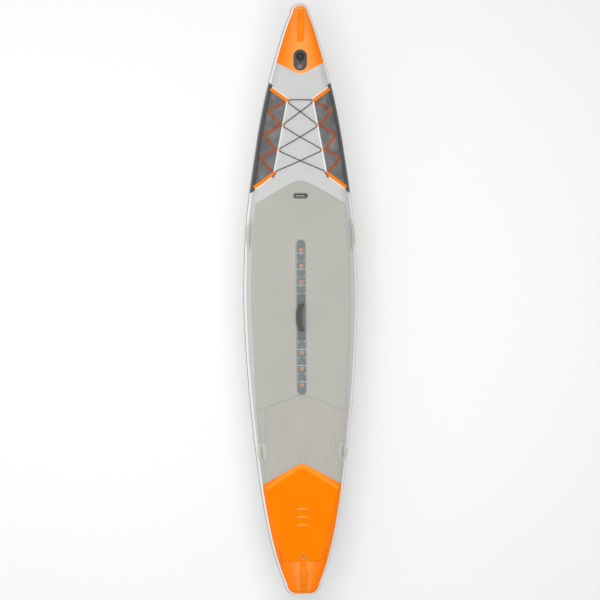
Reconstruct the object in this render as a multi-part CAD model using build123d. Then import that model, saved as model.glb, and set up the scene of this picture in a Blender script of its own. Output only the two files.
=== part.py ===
"""Inflatable touring stand up paddleboard, as an assembly of its separate pieces.

Millimetres. The nose points along +Y, +X is the rider's right and +Z is up. The origin is the
centre of the flat, unrockered stretch of the bottom face.
"""
from build123d import *
import math
import os

ON_BASE = (Align.CENTER, Align.CENTER, Align.MIN)
FOOT_ON_LINE = (Align.CENTER, Align.MIN)

# ---- driving dimensions -------------------------------------------------------------------
LENGTH = 3810.0              # 12 ft 6 in
THICKNESS = 150.0            # 6 in of drop-stitch
NOSE_Y = LENGTH / 2
TAIL_Y = -LENGTH / 2

# Plan outline between the two rounded ends: (y, half width)
OUTLINE = [
    (-1830, 118), (-1731, 156), (-1539, 209), (-1282, 257), (-1025, 292), (-768, 320),
    (-511, 343), (-254, 359), (30, 368), (389, 357), (646, 332), (903, 296), (1160, 254),
    (1417, 197), (1674, 124), (1757, 97), (1845, 62),
]
NOSE_ROUND = 62.0            # plan radius of the nose tip
TAIL_ROUND = 78.0            # plan radius of the two tail corners
TAIL_FLAT = 40.0             # half length of the straight tail edge
ROCKER_START_NOSE = 600.0    # the bottom is flat between these two stations
ROCKER_START_TAIL = -1100.0
NOSE_ROCKER = 150.0          # rise of the bottom at the nose
TAIL_ROCKER = 35.0           # rise of the bottom at the tail
NOSE_THINNING = 34.0         # thickness lost towards the nose
TAIL_THINNING = 14.0
STATION_STEP = 130.0         # spacing of the hull's cross sections

SKIN = 2.0                   # coated fabric, drawn thicker than its real 1 mm
GLUE = 0.2                   # gap between bonded layers
SHEET = 0.9                  # thickness of the coloured cover sheets
PAD = 5.0                    # EVA foam pad
WALL_INSET = 22.0            # how far in from the outline the deck panel meets the side wall
COVER_INSET = 20.0           # white rail left outside the coloured covers
STRIPE_HALF = 20.0           # half height of the grey stripe round the rail

WEBBING = 2.4                # strap thickness
PATCH = 1.2                  # bonded base patch under a strap
AXIS_HEIGHT = 9.0            # height of a strap's swing axis above the surface it is bonded to

HANDLE_Y = -112.0            # centre of the carry handle
VALVE_Y = 1566.0             # centre of the valve
FIN_BOX_Y = -1480.0          # centre of the fin box


# ---- hull form ----------------------------------------------------------------------------
def smooth_through(points, y):
    """Value at y of the monotone cubic curve through (y, value) points."""
    ys = [p[0] for p in points]
    vs = [p[1] for p in points]
    last = len(ys) - 1
    y = max(ys[0], min(ys[last], y))
    steps = [ys[i + 1] - ys[i] for i in range(last)]
    rises = [(vs[i + 1] - vs[i]) / steps[i] for i in range(last)]
    slopes = [rises[0]] + [0.0] * (last - 1) + [rises[-1]]
    for i in range(1, last):
        if rises[i - 1] * rises[i] > 0:
            near = 2 * steps[i] + steps[i - 1]
            far = steps[i] + 2 * steps[i - 1]
            slopes[i] = (near + far) / (near / rises[i - 1] + far / rises[i])
    k = next(i for i in range(last) if y <= ys[i + 1])
    t = (y - ys[k]) / steps[k]
    start = (2 * t**3 - 3 * t**2 + 1) * vs[k] + (t**3 - 2 * t**2 + t) * steps[k] * slopes[k]
    end = (3 * t**2 - 2 * t**3) * vs[k + 1] + (t**3 - t**2) * steps[k] * slopes[k + 1]
    return start + end


def bottom_rise(y):
    """Height of the bottom face: flat amidships, lifting towards both ends."""
    if y > ROCKER_START_NOSE:
        return NOSE_ROCKER * ((y - ROCKER_START_NOSE) / (NOSE_Y - ROCKER_START_NOSE)) ** 2
    if y < ROCKER_START_TAIL:
        return TAIL_ROCKER * ((ROCKER_START_TAIL - y) / (ROCKER_START_TAIL - TAIL_Y)) ** 2
    return 0.0


def full_thickness(y):
    """Thickness before the two ends are rounded off."""
    if y > 1000:
        return THICKNESS - NOSE_THINNING * ((y - 1000) / (NOSE_Y - 1000)) ** 2
    if y < -1400:
        return THICKNESS - TAIL_THINNING * ((-1400 - y) / (-1400 - TAIL_Y)) ** 2
    return THICKNESS


def chord(radius, depth):
    """Half chord of a circle at a depth in from its edge."""
    depth = max(0.0, min(radius, depth))
    return math.sqrt(radius**2 - (radius - depth) ** 2)


def half_thickness(y, grow=0.0):
    """Rail radius at y, on a surface grown outwards by grow."""
    at_nose = chord(full_thickness(NOSE_Y) / 2 + grow, NOSE_Y + grow - y)
    at_tail = chord(full_thickness(TAIL_Y) / 2 + grow, y - TAIL_Y + grow)
    plain = full_thickness(y) / 2 + grow
    if NOSE_Y - y < full_thickness(NOSE_Y) / 2:
        return at_nose
    if y - TAIL_Y < full_thickness(TAIL_Y) / 2:
        return at_tail
    return plain


def half_width(y, grow=0.0):
    """Half width of the plan outline at y, on a surface grown outwards by grow."""
    if y > OUTLINE[-1][0]:
        wide = chord(NOSE_ROUND + grow, NOSE_Y + grow - y)
    elif y < OUTLINE[0][0]:
        wide = TAIL_FLAT + chord(TAIL_ROUND + grow, y - TAIL_Y + grow)
    else:
        wide = smooth_through(OUTLINE, y) + grow
    return max(wide, half_thickness(y, grow) + 1.0)


def mid_height(y):
    """Height of the rail's centre."""
    return bottom_rise(y) + full_thickness(y) / 2


def deck_height(y):
    """Height of the deck on the centreline."""
    return mid_height(y) + half_thickness(y)


def stations(grow=0.0):
    """Where the hull's cross sections stand: close together where the ends round off."""
    depths = [0.8, 4.0, 10.0, 20.0, 35.0]
    tail = [TAIL_Y - grow + d for d in depths] + [TAIL_Y + 75]
    nose = [1740.0, 1800.0, 1845.0] + [NOSE_Y + grow - d for d in reversed(depths)]
    middle = [-1740 + STATION_STEP * i for i in range(int(3460 / STATION_STEP) + 1)]
    return tail + middle + nose


def section_plane(y):
    """Plane across the hull at y: local x is +X and local y is +Z."""
    return Plane(origin=(0, y, mid_height(y)), x_dir=(1, 0, 0), z_dir=(0, -1, 0))


def hull_form(grow=0.0):
    """The inflated body as one solid, grown outwards by grow: flat faces, round rails."""
    slices = [
        section_plane(y) * SlotOverall(2 * half_width(y, grow), 2 * half_thickness(y, grow))
        for y in stations(grow)
    ]
    return loft(slices, ruled=True)


def band_section(y, low, high, reach):
    """Slice through a layer on the deck, wrapping reach degrees down over both rails."""
    radius = half_thickness(y)
    centre = half_width(y) - radius
    turn = math.radians(reach)

    def at(side, size, angle):
        return (side * (centre + size * math.sin(angle)), size * math.cos(angle))

    outer = radius + high
    inner = radius + low
    with BuildSketch(section_plane(y)) as sketch:
        with BuildLine():
            ThreePointArc(at(-1, outer, turn), at(-1, outer, turn / 2), at(-1, outer, 0))
            Line(at(-1, outer, 0), at(1, outer, 0))
            ThreePointArc(at(1, outer, 0), at(1, outer, turn / 2), at(1, outer, turn))
            Line(at(1, outer, turn), at(1, inner, turn))
            ThreePointArc(at(1, inner, turn), at(1, inner, turn / 2), at(1, inner, 0))
            Line(at(1, inner, 0), at(-1, inner, 0))
            ThreePointArc(at(-1, inner, 0), at(-1, inner, turn / 2), at(-1, inner, turn))
            Line(at(-1, inner, turn), at(-1, outer, turn))
        make_face()
    return sketch.sketch


def deck_layer(low, high, reach, y_low, y_high):
    """A layer from low to high above the skin, covering at least y_low to y_high."""
    marks = stations()
    before = max([s for s in marks if s <= y_low] or [marks[0]])
    after = min([s for s in marks if s >= y_high] or [marks[-1]])
    slices = [band_section(y, low, high, reach) for y in marks if before <= y <= after]
    return loft(slices, ruled=True)


def edge_line(inset, y_low, y_high, points=14):
    """Right-hand points that follow the outline at an inset, from y_low to y_high."""
    ys = [y_low + (y_high - y_low) * i / (points - 1) for i in range(points)]
    depth = inset if callable(inset) else (lambda y: inset)
    return [(half_width(y) - depth(y), y) for y in ys]


def mirrored(right_side):
    """A closed outline from its right-hand points, listed along +Y or -Y."""
    left_side = [(-x, y) for x, y in reversed(right_side) if abs(x) > 1e-6]
    return make_face(Polyline(*(right_side + left_side), close=True))


def upright(outline, low=-60.0, high=420.0):
    """A plan outline as a vertical prism."""
    return extrude(Pos(0, 0, low) * outline, high - low)


def cut_layer(layer, outline):
    """The part of a deck layer inside a plan outline."""
    return layer & upright(outline)


def solids_of(shape):
    return list(shape.solids())


# ---- hull skins ---------------------------------------------------------------------------
def wall_line():
    """Plan line where the deck and bottom panels end and the side walls begin."""
    middle = edge_line(WALL_INSET, OUTLINE[0][0], OUTLINE[-1][0], 30)
    tail = [(half_width(TAIL_Y + d) - WALL_INSET, TAIL_Y + d) for d in (26, 34, 50)]
    nose = [(half_width(NOSE_Y - d) - WALL_INSET, NOSE_Y - d) for d in (46, 32, 24)]
    return mirrored(tail + middle + nose)


def hull_skins():
    """Deck panel, bottom panel and the two side walls, cut from one hollow shell."""
    shell = hull_form() - hull_form(-SKIN)
    prism = upright(wall_line())
    panels = sorted(solids_of(shell & prism), key=lambda s: s.center().Z)
    ring = shell - prism
    middle_cut = Plane.YZ
    left = split(ring, bisect_by=middle_cut, keep=Keep.BOTTOM)
    right = split(ring, bisect_by=middle_cut, keep=Keep.TOP)
    return panels[-1], panels[0], left, right


def rail_stripes():
    """Grey stripe bonded round the middle of both side walls."""
    jacket = hull_form(GLUE + SHEET) - hull_form(GLUE)
    ends = [TAIL_Y - 10] + stations() + [NOSE_Y + 10]
    belt = loft(
        [section_plane(y) * Rectangle(1000, 2 * STRIPE_HALF) for y in ends], ruled=True
    )
    whole = jacket & belt
    left = split(whole, bisect_by=Plane.YZ, keep=Keep.BOTTOM)
    right = split(whole, bisect_by=Plane.YZ, keep=Keep.TOP)
    return Compound(children=solids_of(left) + solids_of(right))


def drop_stitch_yarns():
    """Bundles of the yarns that hold the two panels parallel under pressure."""
    bundle = 3.0
    clear = 0.4
    posts = []
    for row in range(17):
        y = -1640 + 200 * row
        reach = half_width(y) - half_thickness(y) - 15
        count = max(2, int(2 * reach / 110) + 1)
        low = max(bottom_rise(y - 2), bottom_rise(y + 2)) + SKIN + clear
        high = min(deck_height(y - 2), deck_height(y + 2)) - SKIN - clear
        for i in range(count):
            x = -reach + 2 * reach * i / (count - 1)
            if math.hypot(x, y - VALVE_Y) > 60:
                posts.append(Pos(x, y, low) * Box(bundle, bundle, high - low, align=ON_BASE))
    return Compound(children=[solids_of(p)[0] for p in posts])


# ---- coloured covers and foam pads --------------------------------------------------------
PAD_BASE = GLUE                      # deck pads lie on the skin
COVER_TOP = GLUE + SHEET             # top of the coloured cover sheets
TAIL_PAD_LOW = COVER_TOP + GLUE
TAIL_PAD_HIGH = TAIL_PAD_LOW + PAD
CHEVRON_TIP_Y = -1055.0              # where the grey pad meets the coloured tail
CHEVRON_SIDE_Y = -1200.0
CHEVRON_ROUND = (22.0, CHEVRON_TIP_Y - 5)    # end of the chevron's rounded tip
SEAM_TIP_Y = -607.0                  # joint between the front and rear grey pads
SEAM_SIDE_Y = -716.0
STRIP_Y = -111.0                     # centre of the rule strip
STRIP_LENGTH = 1003.0
STRIP_WIDTH = 60.0
STRIP_TOP = 3.4
REAR_HANDLE_Y = -983.0


def valve_hole():
    return Pos(0, VALVE_Y) * Circle(22)


def nose_cover():
    """Coloured sheet over the nose, with a rounded V rear edge."""
    sides = edge_line(COVER_INSET, 1537, 1862, 12)
    rim = [(50, 1472), (32, 1461), (0, 1457)]
    tip = [(24, 1874), (12, 1880)]
    outline = mirrored(list(reversed(rim)) + sides + tip)
    sheet = cut_layer(deck_layer(GLUE, COVER_TOP, 50, 1457, 1880), outline)
    return sheet - upright(valve_hole())


def tail_cover():
    """Coloured sheet over the tail, from the chevron to the tail edge."""
    sides = edge_line(COVER_INSET, CHEVRON_SIDE_Y, -1862, 16)
    end = [(62, -1878), (40, -1884)]
    outline = mirrored([(0, CHEVRON_TIP_Y), CHEVRON_ROUND] + sides + end)
    return cut_layer(deck_layer(GLUE, COVER_TOP, 52, -1884, CHEVRON_TIP_Y), outline)


def pad_inset(y):
    """How far the grey pad's side stands in from the outline."""
    return smooth_through([(-1200, 22), (-768, 33), (-382, 46), (100, 47), (595, 47)], y)


def strip_hole(margin):
    """Stadium opening round the rule strip."""
    return Pos(0, STRIP_Y) * SlotOverall(
        STRIP_LENGTH + 2 * margin, STRIP_WIDTH + 2 * margin, rotation=90
    )


def half_moons():
    """Finger recesses in the pad's edge beside the two rear handles."""
    edge = half_width(REAR_HANDLE_Y) - 33
    return [Pos(side * edge, REAR_HANDLE_Y) * Ellipse(38, 74) for side in (-1, 1)]


def deck_pad_front():
    """Grooved foam from the rounded front point back to the V seam."""
    sides = edge_line(pad_inset, 595, SEAM_SIDE_Y, 16)
    front = [(0, 768), (38, 757), (90, 728)]
    outline = mirrored(front + sides + [(0, SEAM_TIP_Y)])
    pad = cut_layer(deck_layer(PAD_BASE, PAD_BASE + PAD, 45, SEAM_SIDE_Y, 768), outline)
    return pad - upright(strip_hole(1.0))


def deck_pad_rear():
    """Grooved foam from the V seam back to the chevron."""
    gap = 1.5
    sides = edge_line(pad_inset, SEAM_SIDE_Y - gap, CHEVRON_SIDE_Y + 2 * gap, 12)
    tip = [(CHEVRON_ROUND[0], CHEVRON_ROUND[1] + 2 * gap), (0, CHEVRON_TIP_Y + 2 * gap)]
    outline = mirrored([(0, SEAM_TIP_Y - gap)] + sides + tip)
    pad = cut_layer(deck_layer(PAD_BASE, PAD_BASE + PAD, 45, CHEVRON_SIDE_Y, SEAM_TIP_Y), outline)
    for hole in half_moons():
        pad = pad - upright(hole)
    return pad - upright(strip_hole(1.0))


TAIL_PAD_SIDE = [(233, -1206), (221, -1282), (182, -1440), (140, -1571), (122, -1640), (117, -1683)]


def tail_pad():
    """Textured foam pad; its front chevron is the raised, bevelled kick edge."""
    outline = mirrored([(0, CHEVRON_TIP_Y - 4), (20, CHEVRON_TIP_Y - 9)] + TAIL_PAD_SIDE)
    pad = cut_layer(deck_layer(TAIL_PAD_LOW, TAIL_PAD_HIGH, 45, -1683, CHEVRON_TIP_Y), outline)
    kick = mirrored([(0, CHEVRON_TIP_Y - 8), (20, CHEVRON_TIP_Y - 13), (222, -1206),
                     (217, -1228), (20, CHEVRON_TIP_Y - 40), (0, CHEVRON_TIP_Y - 35)])
    ridge = cut_layer(deck_layer(TAIL_PAD_LOW, TAIL_PAD_HIGH + 4, 30, -1240, CHEVRON_TIP_Y), kick)
    return pad + ridge


def tail_pad_bars():
    """Three foot-position bars bonded on the tail pad."""
    layer = deck_layer(TAIL_PAD_HIGH + GLUE, TAIL_PAD_HIGH + 1.0, 10, -1455, -1340)
    return Compound(children=[
        solids_of(cut_layer(layer, Pos(0, -1345 - 51 * i) * RectangleRounded(68, 12, 3)))[0]
        for i in range(3)
    ])


def flat_piece(outline, low, high):
    """A plain piece on the flat stretch of deck."""
    return extrude(Pos(0, 0, THICKNESS + low) * outline, high - low)


def badge_plate():
    """Blank oval plate on the front of the grey pad; the deck is already rising here."""
    top = PAD_BASE + PAD
    frame = surface_plane(671)
    return frame * Pos(0, 0, top + GLUE + 0.3) * extrude(SlotOverall(97, 36), 1.5)


def centre_strip():
    return flat_piece(strip_hole(0), GLUE, STRIP_TOP)


TICKS = [207, 311, 415]              # main marks, from the carry handle's centre
HALF_TICKS = [156, 260, 363]


def strip_marks():
    """Raised marks on the rule strip: full ticks, half ticks, arrowheads and the rim line."""
    low = STRIP_TOP + GLUE
    high = low + 0.4
    middle = STRIP_Y - 1
    shapes = [strip_hole(-0.6) - strip_hole(-2.2)]
    for side in (-1, 1):
        for reach in TICKS:
            y = middle + side * reach
            shapes.append(Pos(0, y) * Rectangle(54, 3))
            arrow = Polyline((-4, 6 * side), (4, 6 * side), (0, 0), close=True)
            shapes.append(Pos(0, y - side * 10) * make_face(arrow))
        for reach in HALF_TICKS:
            y = middle + side * reach
            shapes += [Pos(end * 21, y) * Rectangle(12, 3) for end in (-1, 1)]
    return Compound(children=[s for shape in shapes for s in solids_of(flat_piece(shape, low, high))])


def digit(value):
    """Outline of a plain stroke numeral, 12 wide and 20 high."""
    stroke = 3.0
    if value == 0:
        return RectangleRounded(12, 20, 5.9) - RectangleRounded(12 - 2 * stroke, 20 - 2 * stroke, 2.9)
    bowl = Circle(6) - Circle(6 - stroke)
    if value == 2:
        top = (Pos(0, 4) * bowl) & (Pos(0, 9) * Rectangle(12, 10))
        foot = Pos(0, -8.5) * Rectangle(12, stroke)
        slope = make_face(Polyline((6, 4), (3, 4), (-6, -8), (-3, -8), (6, 3), close=True))
        return top + slope + foot
    if value == 3:
        right = Pos(1.6, 0) * Rectangle(9, 20)
        upper = Pos(0, 4.2) * (Circle(5.8) - Circle(5.8 - stroke))
        lower = Pos(0, -4.2) * (Circle(5.8) - Circle(5.8 - stroke))
        return (upper & right) + (lower & right)
    stem = Pos(3, 0) * Rectangle(stroke, 20)
    bar = Pos(0, -3) * Rectangle(12, stroke)
    slant = make_face(Polyline((-6, -2), (1.6, 10), (4.5, 10), (-2.6, -2), close=True))
    return stem + bar + slant


def strip_numerals():
    """Distances from the handle's centre, in centimetres: 20, 30 and 40 each way."""
    low = STRIP_TOP + GLUE
    high = low + 0.4
    parts = []
    for side in (-1, 1):
        for tens, reach in zip((2, 3, 4), TICKS):
            y = STRIP_Y - 1 + side * (reach + 21)
            for value, x in ((tens, -7.5), (0, 7.5)):
                parts += solids_of(flat_piece(Pos(x, y) * digit(value), low, high))
    return Compound(children=parts)


# ---- places on the curved surface ---------------------------------------------------------
def surface_point(y, side=0, inset=0.0):
    """Point on the skin: on the centreline, or at an inset from the outline on one side."""
    if side == 0:
        return Vector(0, y, deck_height(y))
    radius = half_thickness(y)
    out = half_width(y) - inset
    past_flat = max(0.0, out - (half_width(y) - radius))
    return Vector(side * out, y, mid_height(y) + math.sqrt(radius**2 - past_flat**2))


def surface_plane(y, side=0, inset=0.0, span=2.0):
    """Plane resting on two points of the skin: local y runs forward and z points outwards."""
    front = surface_point(y + span / 2, side, inset)
    back = surface_point(y - span / 2, side, inset)
    forward = (front - back).normalized()
    if side == 0:
        across = Vector(1, 0, 0)
    else:
        inner = surface_point(y, side, inset + 1)
        outer = surface_point(y, side, inset - 1)
        across = (outer - inner) * side
    normal = across.cross(forward).normalized()
    return Plane(origin=(front + back) / 2, x_dir=forward.cross(normal), z_dir=normal)


# ---- cargo nets ---------------------------------------------------------------------------
NET_INNER = [(88, 1282), (174, 821)]         # inner edge of the right-hand net: top, bottom
NET_FRONT_Y = 1381.0
NET_REAR_Y = 697.0
NET_INSET = 6.0                              # the nets reach almost to the outline
TAPE_TOP = GLUE + 0.8
NET_LOW = TAPE_TOP + 0.3
NET_HIGH = NET_LOW + 1.0
BINDING_LOW = NET_HIGH + GLUE
BINDING_HIGH = BINDING_LOW + 1.5
ZIGZAG = [(101, 1272), (206, 1219), (127, 1128), (235, 1063), (159, 970), (262, 916), (183, 828)]


def side_pair(shape):
    """The piece on the right and its mirror image on the left."""
    return Compound(children=solids_of(shape) + solids_of(mirror(shape, Plane.YZ)))


def net_outline():
    outer = edge_line(NET_INSET, NET_REAR_Y, NET_FRONT_Y, 16)
    return make_face(Polyline(*(outer + NET_INNER), close=True))


def net_right():
    """Mesh panel over the right shoulder of the deck."""
    layer = deck_layer(NET_LOW, NET_HIGH, 74, NET_REAR_Y, NET_FRONT_Y)
    return cut_layer(layer, net_outline())


def net_rail_bindings():
    """Dark bindings that hold the nets' outer edges down on the rails."""
    width = 24
    outer = edge_line(NET_INSET, NET_REAR_Y - 4, NET_FRONT_Y + 14, 16)
    inner = edge_line(NET_INSET + width, NET_REAR_Y - 4, NET_FRONT_Y + 14, 16)
    outline = make_face(Polyline(*(outer + list(reversed(inner))), close=True))
    layer = deck_layer(BINDING_LOW, BINDING_HIGH, 74, NET_REAR_Y, NET_FRONT_Y)
    return side_pair(cut_layer(layer, outline))


def ribbon(start, end, width, lengthen=0.0):
    """A straight strip in plan between two points."""
    run = Vector(*end) - Vector(*start)
    across = Vector(-run.Y, run.X).normalized() * (width / 2)
    extra = run.normalized() * lengthen
    a = Vector(*start) - extra
    b = Vector(*end) + extra
    corners = [a + across, b + across, b - across, a - across]
    return make_face(Polyline(*[(c.X, c.Y) for c in corners], close=True))


def net_end_bindings():
    """Coloured webbing along the front and rear edges of both nets."""
    layer = deck_layer(BINDING_LOW, BINDING_HIGH, 62, NET_REAR_Y, NET_FRONT_Y)
    front = ribbon((92, 1290), (169, 1354), 22)
    rear = ribbon((178, 812), (281, 734), 22)
    return side_pair(Compound(children=solids_of(cut_layer(layer, front))
                              + solids_of(cut_layer(layer, rear))))


def net_pipings():
    """Pale rolled edge along the inside of both nets."""
    layer = deck_layer(GLUE, 4.2, 10, NET_INNER[1][1], NET_INNER[0][1])
    (x0, y0), (x1, y1) = NET_INNER
    return side_pair(cut_layer(layer, ribbon((x0 - 2.6, y0), (x1 - 2.6, y1), 4.0)))


def zigzag_tapes():
    """Coloured reinforcing tape that runs to and fro under both nets."""
    outline = ribbon(ZIGZAG[0], ZIGZAG[1], 17)
    for start, end in zip(ZIGZAG[1:], ZIGZAG[2:]):
        outline = outline + ribbon(start, end, 17, 6)
    layer = deck_layer(GLUE, TAPE_TOP, 62, ZIGZAG[-1][1], ZIGZAG[0][1])
    return side_pair(cut_layer(layer, outline))


# ---- bungee lacing ------------------------------------------------------------------------
CORD = 6.0                           # bungee diameter
LOW_STRAND = 3.6                     # centre heights above the deck where strands cross
HIGH_STRAND = 10.6
LOOP_HEIGHT = 6.0

# Right-hand turning points of the lacing in plan, front to back, as (x, y)
LACE_TOP = [(72, 1287), (77, 1268)]
LACE_MID = [(107, 1131), (108, 1115)]
LACE_LOW = [(133, 974), (134, 958)]
LACE_END = [(158.5, 829), (163.5, 813)]
LACE_TIP = (173, 799)                # the cord's ends pass over the nets' rear bindings
TIP_HEIGHT = 9.6
CROSSINGS = [1210.0, 1048.0, 896.0]


def bungee_route():
    """Points along the one cord, from the left end up, across the front and down again."""
    def at(x, y, height):
        return (x, y, deck_height(y) + height)

    def turn(points, side, forward):
        ordered = reversed(points) if forward else points
        return [at(side * x, y, LOOP_HEIGHT) for x, y in ordered]

    first, second, third = CROSSINGS
    x, y = LACE_TIP
    up = [at(-x, y, TIP_HEIGHT)] + turn(LACE_END, -1, True) + [at(-1, third, LOW_STRAND)]
    up += turn(LACE_LOW, 1, True)
    up += [at(1, second, LOW_STRAND)] + turn(LACE_MID, -1, True) + [at(-1, first, LOW_STRAND)]
    up += turn(LACE_TOP, 1, True)
    down = turn(LACE_TOP, -1, False) + [at(1, first, HIGH_STRAND)] + turn(LACE_MID, 1, False)
    down += [at(-1, second, HIGH_STRAND)] + turn(LACE_LOW, -1, False)
    down += [at(1, third, HIGH_STRAND)] + turn(LACE_END, 1, False)
    return up + down + [at(x, y, TIP_HEIGHT)]


def corner_radii(points, share=0.45):
    """Largest arc that each corner of a route allows."""
    radii = []
    for a, b, c in zip(points, points[1:], points[2:]):
        run_in = Vector(*b) - Vector(*a)
        run_out = Vector(*c) - Vector(*b)
        half_turn = math.radians(run_in.get_angle(run_out)) / 2
        radii.append(share * min(run_in.length, run_out.length) / math.tan(half_turn))
    return radii


def tube(points, radius):
    """Round cord along a route of straight runs joined by arcs."""
    path = FilletPolyline(*points, radius=corner_radii(points))
    start = Plane(origin=path @ 0, z_dir=path % 0)
    return sweep(start * Circle(radius), path=path)


def bungee_cord():
    return tube(bungee_route(), CORD / 2)


def bungee_loops():
    """Small webbing loops sewn beside the nets, each folded over the cord."""
    inner_wide = 7.8
    inner_high = 10.6
    wall = 1.2
    loops = []
    for points in (LACE_TOP, LACE_MID, LACE_LOW, LACE_END):
        (x0, y0), (x1, y1) = points
        middle = ((x0 + x1) / 2, (y0 + y1) / 2)
        lean = math.degrees(math.atan2(y0 - y1, x0 - x1)) - 90
        arch = Rectangle(inner_wide + 2 * wall, inner_high + wall, align=FOOT_ON_LINE)
        arch -= Rectangle(inner_wide, inner_high, align=FOOT_ON_LINE)
        solid = extrude(Plane.XZ * arch, 4, both=True)
        place = surface_plane(middle[1], span=20) * Pos(middle[0], 0, 0.5) * Rot(0, 0, lean)
        loops.append(place * solid)
    return side_pair(Compound(children=[s for l in loops for s in solids_of(l)]))


def bungee_stoppers():
    """Moulded cord ends clamped on both ends of the bungee."""
    route = bungee_route()
    stops = []
    for tip, before in ((route[0], route[1]), (route[-1], route[-2])):
        outward = (Vector(*tip) - Vector(*before)).normalized()
        stops.append(Plane(origin=tip, z_dir=outward) * Cylinder(4.6, 12, align=ON_BASE))
    return Compound(children=[solids_of(s)[0] for s in stops])


# ---- webbing straps -----------------------------------------------------------------------
TAB_GAP = 1.0                # along the strap, between the swinging loop and its sewn tabs
FOOT = GLUE + PATCH + 0.5    # underside of a sewn tab above the layer that its patch lies on
STRAP_END = 5.0              # half width of the folded webbing where the loop meets its tabs
CLIMB = 9.0                  # length over which a tab rises to the swing axis

# name: (y centre, side, inset, base, half length of the loop, tab length, rise, half width, lean)
STRAPS = {
    "carry_handle": (HANDLE_Y, 0, 0, STRIP_TOP, 93, 44, 34, 21, -20),
    "nose_strap": (1762, 0, 0, COVER_TOP, 64, 36, 27, 19, 0),
    "tail_strap": (-1785, 0, 0, COVER_TOP, 64, 30, 27, 21, 12),
    "mid_handle": (421, 1, 26, 0, 75, 28, 22, 12.5, 0),
    "rear_handle": (REAR_HANDLE_Y, 1, 31, 0, 38, 23, 20, 12.5, 0),
    "tail_handle": (-1645, 1, 35, COVER_TOP, 32, 21, 17, 9.5, 0),
}


def webbing_piece(line, plan, thick=WEBBING):
    """Bent strap from its side line of (y, z) points and its plan of (y, half width) points."""
    upper = [(y, z + thick / 2) for y, z in line]
    lower = [(y, z - thick / 2) for y, z in reversed(line)]
    side = extrude(Plane.YZ * make_face(Polyline(*(upper + lower), close=True)), 60, both=True)
    right = [(w, y) for y, w in plan]
    left = [(-w, y) for y, w in reversed(plan)]
    top = extrude(Pos(0, 0, -60) * make_face(Polyline(*(right + left), close=True)), 200)
    return solids_of(side & top)[0]


def both_ends(half):
    """Mirror a list of (y, value) points that starts at y = 0."""
    return [(-y, value) for y, value in reversed(half[1:])] + half


def strap_frame(name, side=None):
    """Local axes of a strap: y along it, z outwards from the layer that it is bonded to."""
    y, first_side, inset, base, reach, tab, rise, wide, lean = STRAPS[name]
    side = first_side if side is None else side
    plane = surface_plane(y, side, inset, 2 * reach + tab)
    return plane.offset(base)


def loop_line(name):
    """Side line of a strap's loop, from its middle to one end on the swing axis."""
    reach, rise = STRAPS[name][4], STRAPS[name][6]
    return [(0, rise), (0.5 * reach, 0.97 * rise), (0.8 * reach, 0.52 * rise + 0.48 * AXIS_HEIGHT),
            (reach, AXIS_HEIGHT)]


def loop_plan(name):
    reach, wide = STRAPS[name][4], STRAPS[name][7]
    return [(0, wide), (0.55 * reach, wide), (0.8 * reach, 0.6 * wide), (reach, STRAP_END)]


def leaning(shape, angle):
    """Turn a strap's loop about its swing axis."""
    return Pos(0, 0, AXIS_HEIGHT) * Rot(0, angle, 0) * Pos(0, 0, -AXIS_HEIGHT) * shape


def strap_loop(name, side=None):
    """The part of a strap that swings."""
    loop = webbing_piece(both_ends(loop_line(name)), both_ends(loop_plan(name)))
    return strap_frame(name, side) * leaning(loop, STRAPS[name][8])


def tab_height(name, frame, local_y):
    """Local height of a sewn tab's middle line, which follows the skin lengthways."""
    side, inset, base = STRAPS[name][1:4]
    lift = FOOT + WEBBING / 2
    if side:
        return lift
    at = (frame * Pos(0, local_y, 0)).position
    return mid_height(at.Y) + half_thickness(at.Y, base + lift) - at.Z


def strap_tabs(name, side=None):
    """The two sewn ends of a strap, each rising from its patch to the swing axis."""
    reach, tab, rise, wide = STRAPS[name][4:8]
    frame = strap_frame(name, side)
    start = reach + TAB_GAP
    tabs = []
    for end in (-1, 1):
        line = [(start, AXIS_HEIGHT)]
        for i in range(4):
            stop = start + CLIMB + (tab - CLIMB) * i / 3
            line.append((stop, tab_height(name, frame, end * stop)))
        line = [(end * y, z) for y, z in line]
        plan = [(end * y, w) for y, w in [(start, STRAP_END), (start + CLIMB + 3, wide),
                                          (start + tab, wide)]]
        tabs.append(frame * webbing_piece(line, plan))
    return tabs


def strap_patches(name):
    """Bonded patches under both ends of a strap, following the skin; right-hand side only."""
    y, side, inset, base, reach, tab, rise, wide, lean = STRAPS[name]
    frame = strap_frame(name)
    low = base + GLUE
    patches = []
    for end in (-1, 1):
        near = frame * Pos(0, end * (reach + TAB_GAP + CLIMB - 2), 0)
        far = frame * Pos(0, end * (reach + TAB_GAP + tab + 3), 0)
        start = (near.position.X, near.position.Y)
        stop = (far.position.X, far.position.Y)
        outline = ribbon(start, stop, 2 * wide * abs(frame.x_dir.X) + 5)
        y_low, y_high = sorted((start[1], stop[1]))
        layer = deck_layer(low, low + PATCH, 70, y_low, y_high)
        patches += solids_of(cut_layer(layer, outline))
    return patches


def carry_handle_grip():
    """Soft sleeve round the middle of the carry handle's webbing."""
    line = [(-70, 26.5), (-46, 33), (0, 34), (46, 33), (70, 26.5)]
    plan = [(-70, 16), (-46, 20), (0, 23), (46, 20), (70, 16)]
    sleeve = webbing_piece(line, plan, 8.0)
    slot_line = [(-110, 2.4)] + both_ends(loop_line("carry_handle")) + [(110, 2.4)]
    slot_plan = both_ends([(y, w + 0.3) for y, w in loop_plan("carry_handle")])
    slot = webbing_piece(slot_line, slot_plan, WEBBING + 0.6)
    return strap_frame("carry_handle") * leaning(sleeve - slot, STRAPS["carry_handle"][8])


def end_straps(make):
    return Compound(children=make("nose_strap") + make("tail_strap"))


def side_handles(make):
    pieces = []
    for name in ("mid_handle", "rear_handle", "tail_handle"):
        pieces += make(name)
    return side_pair(Compound(children=pieces))


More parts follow.
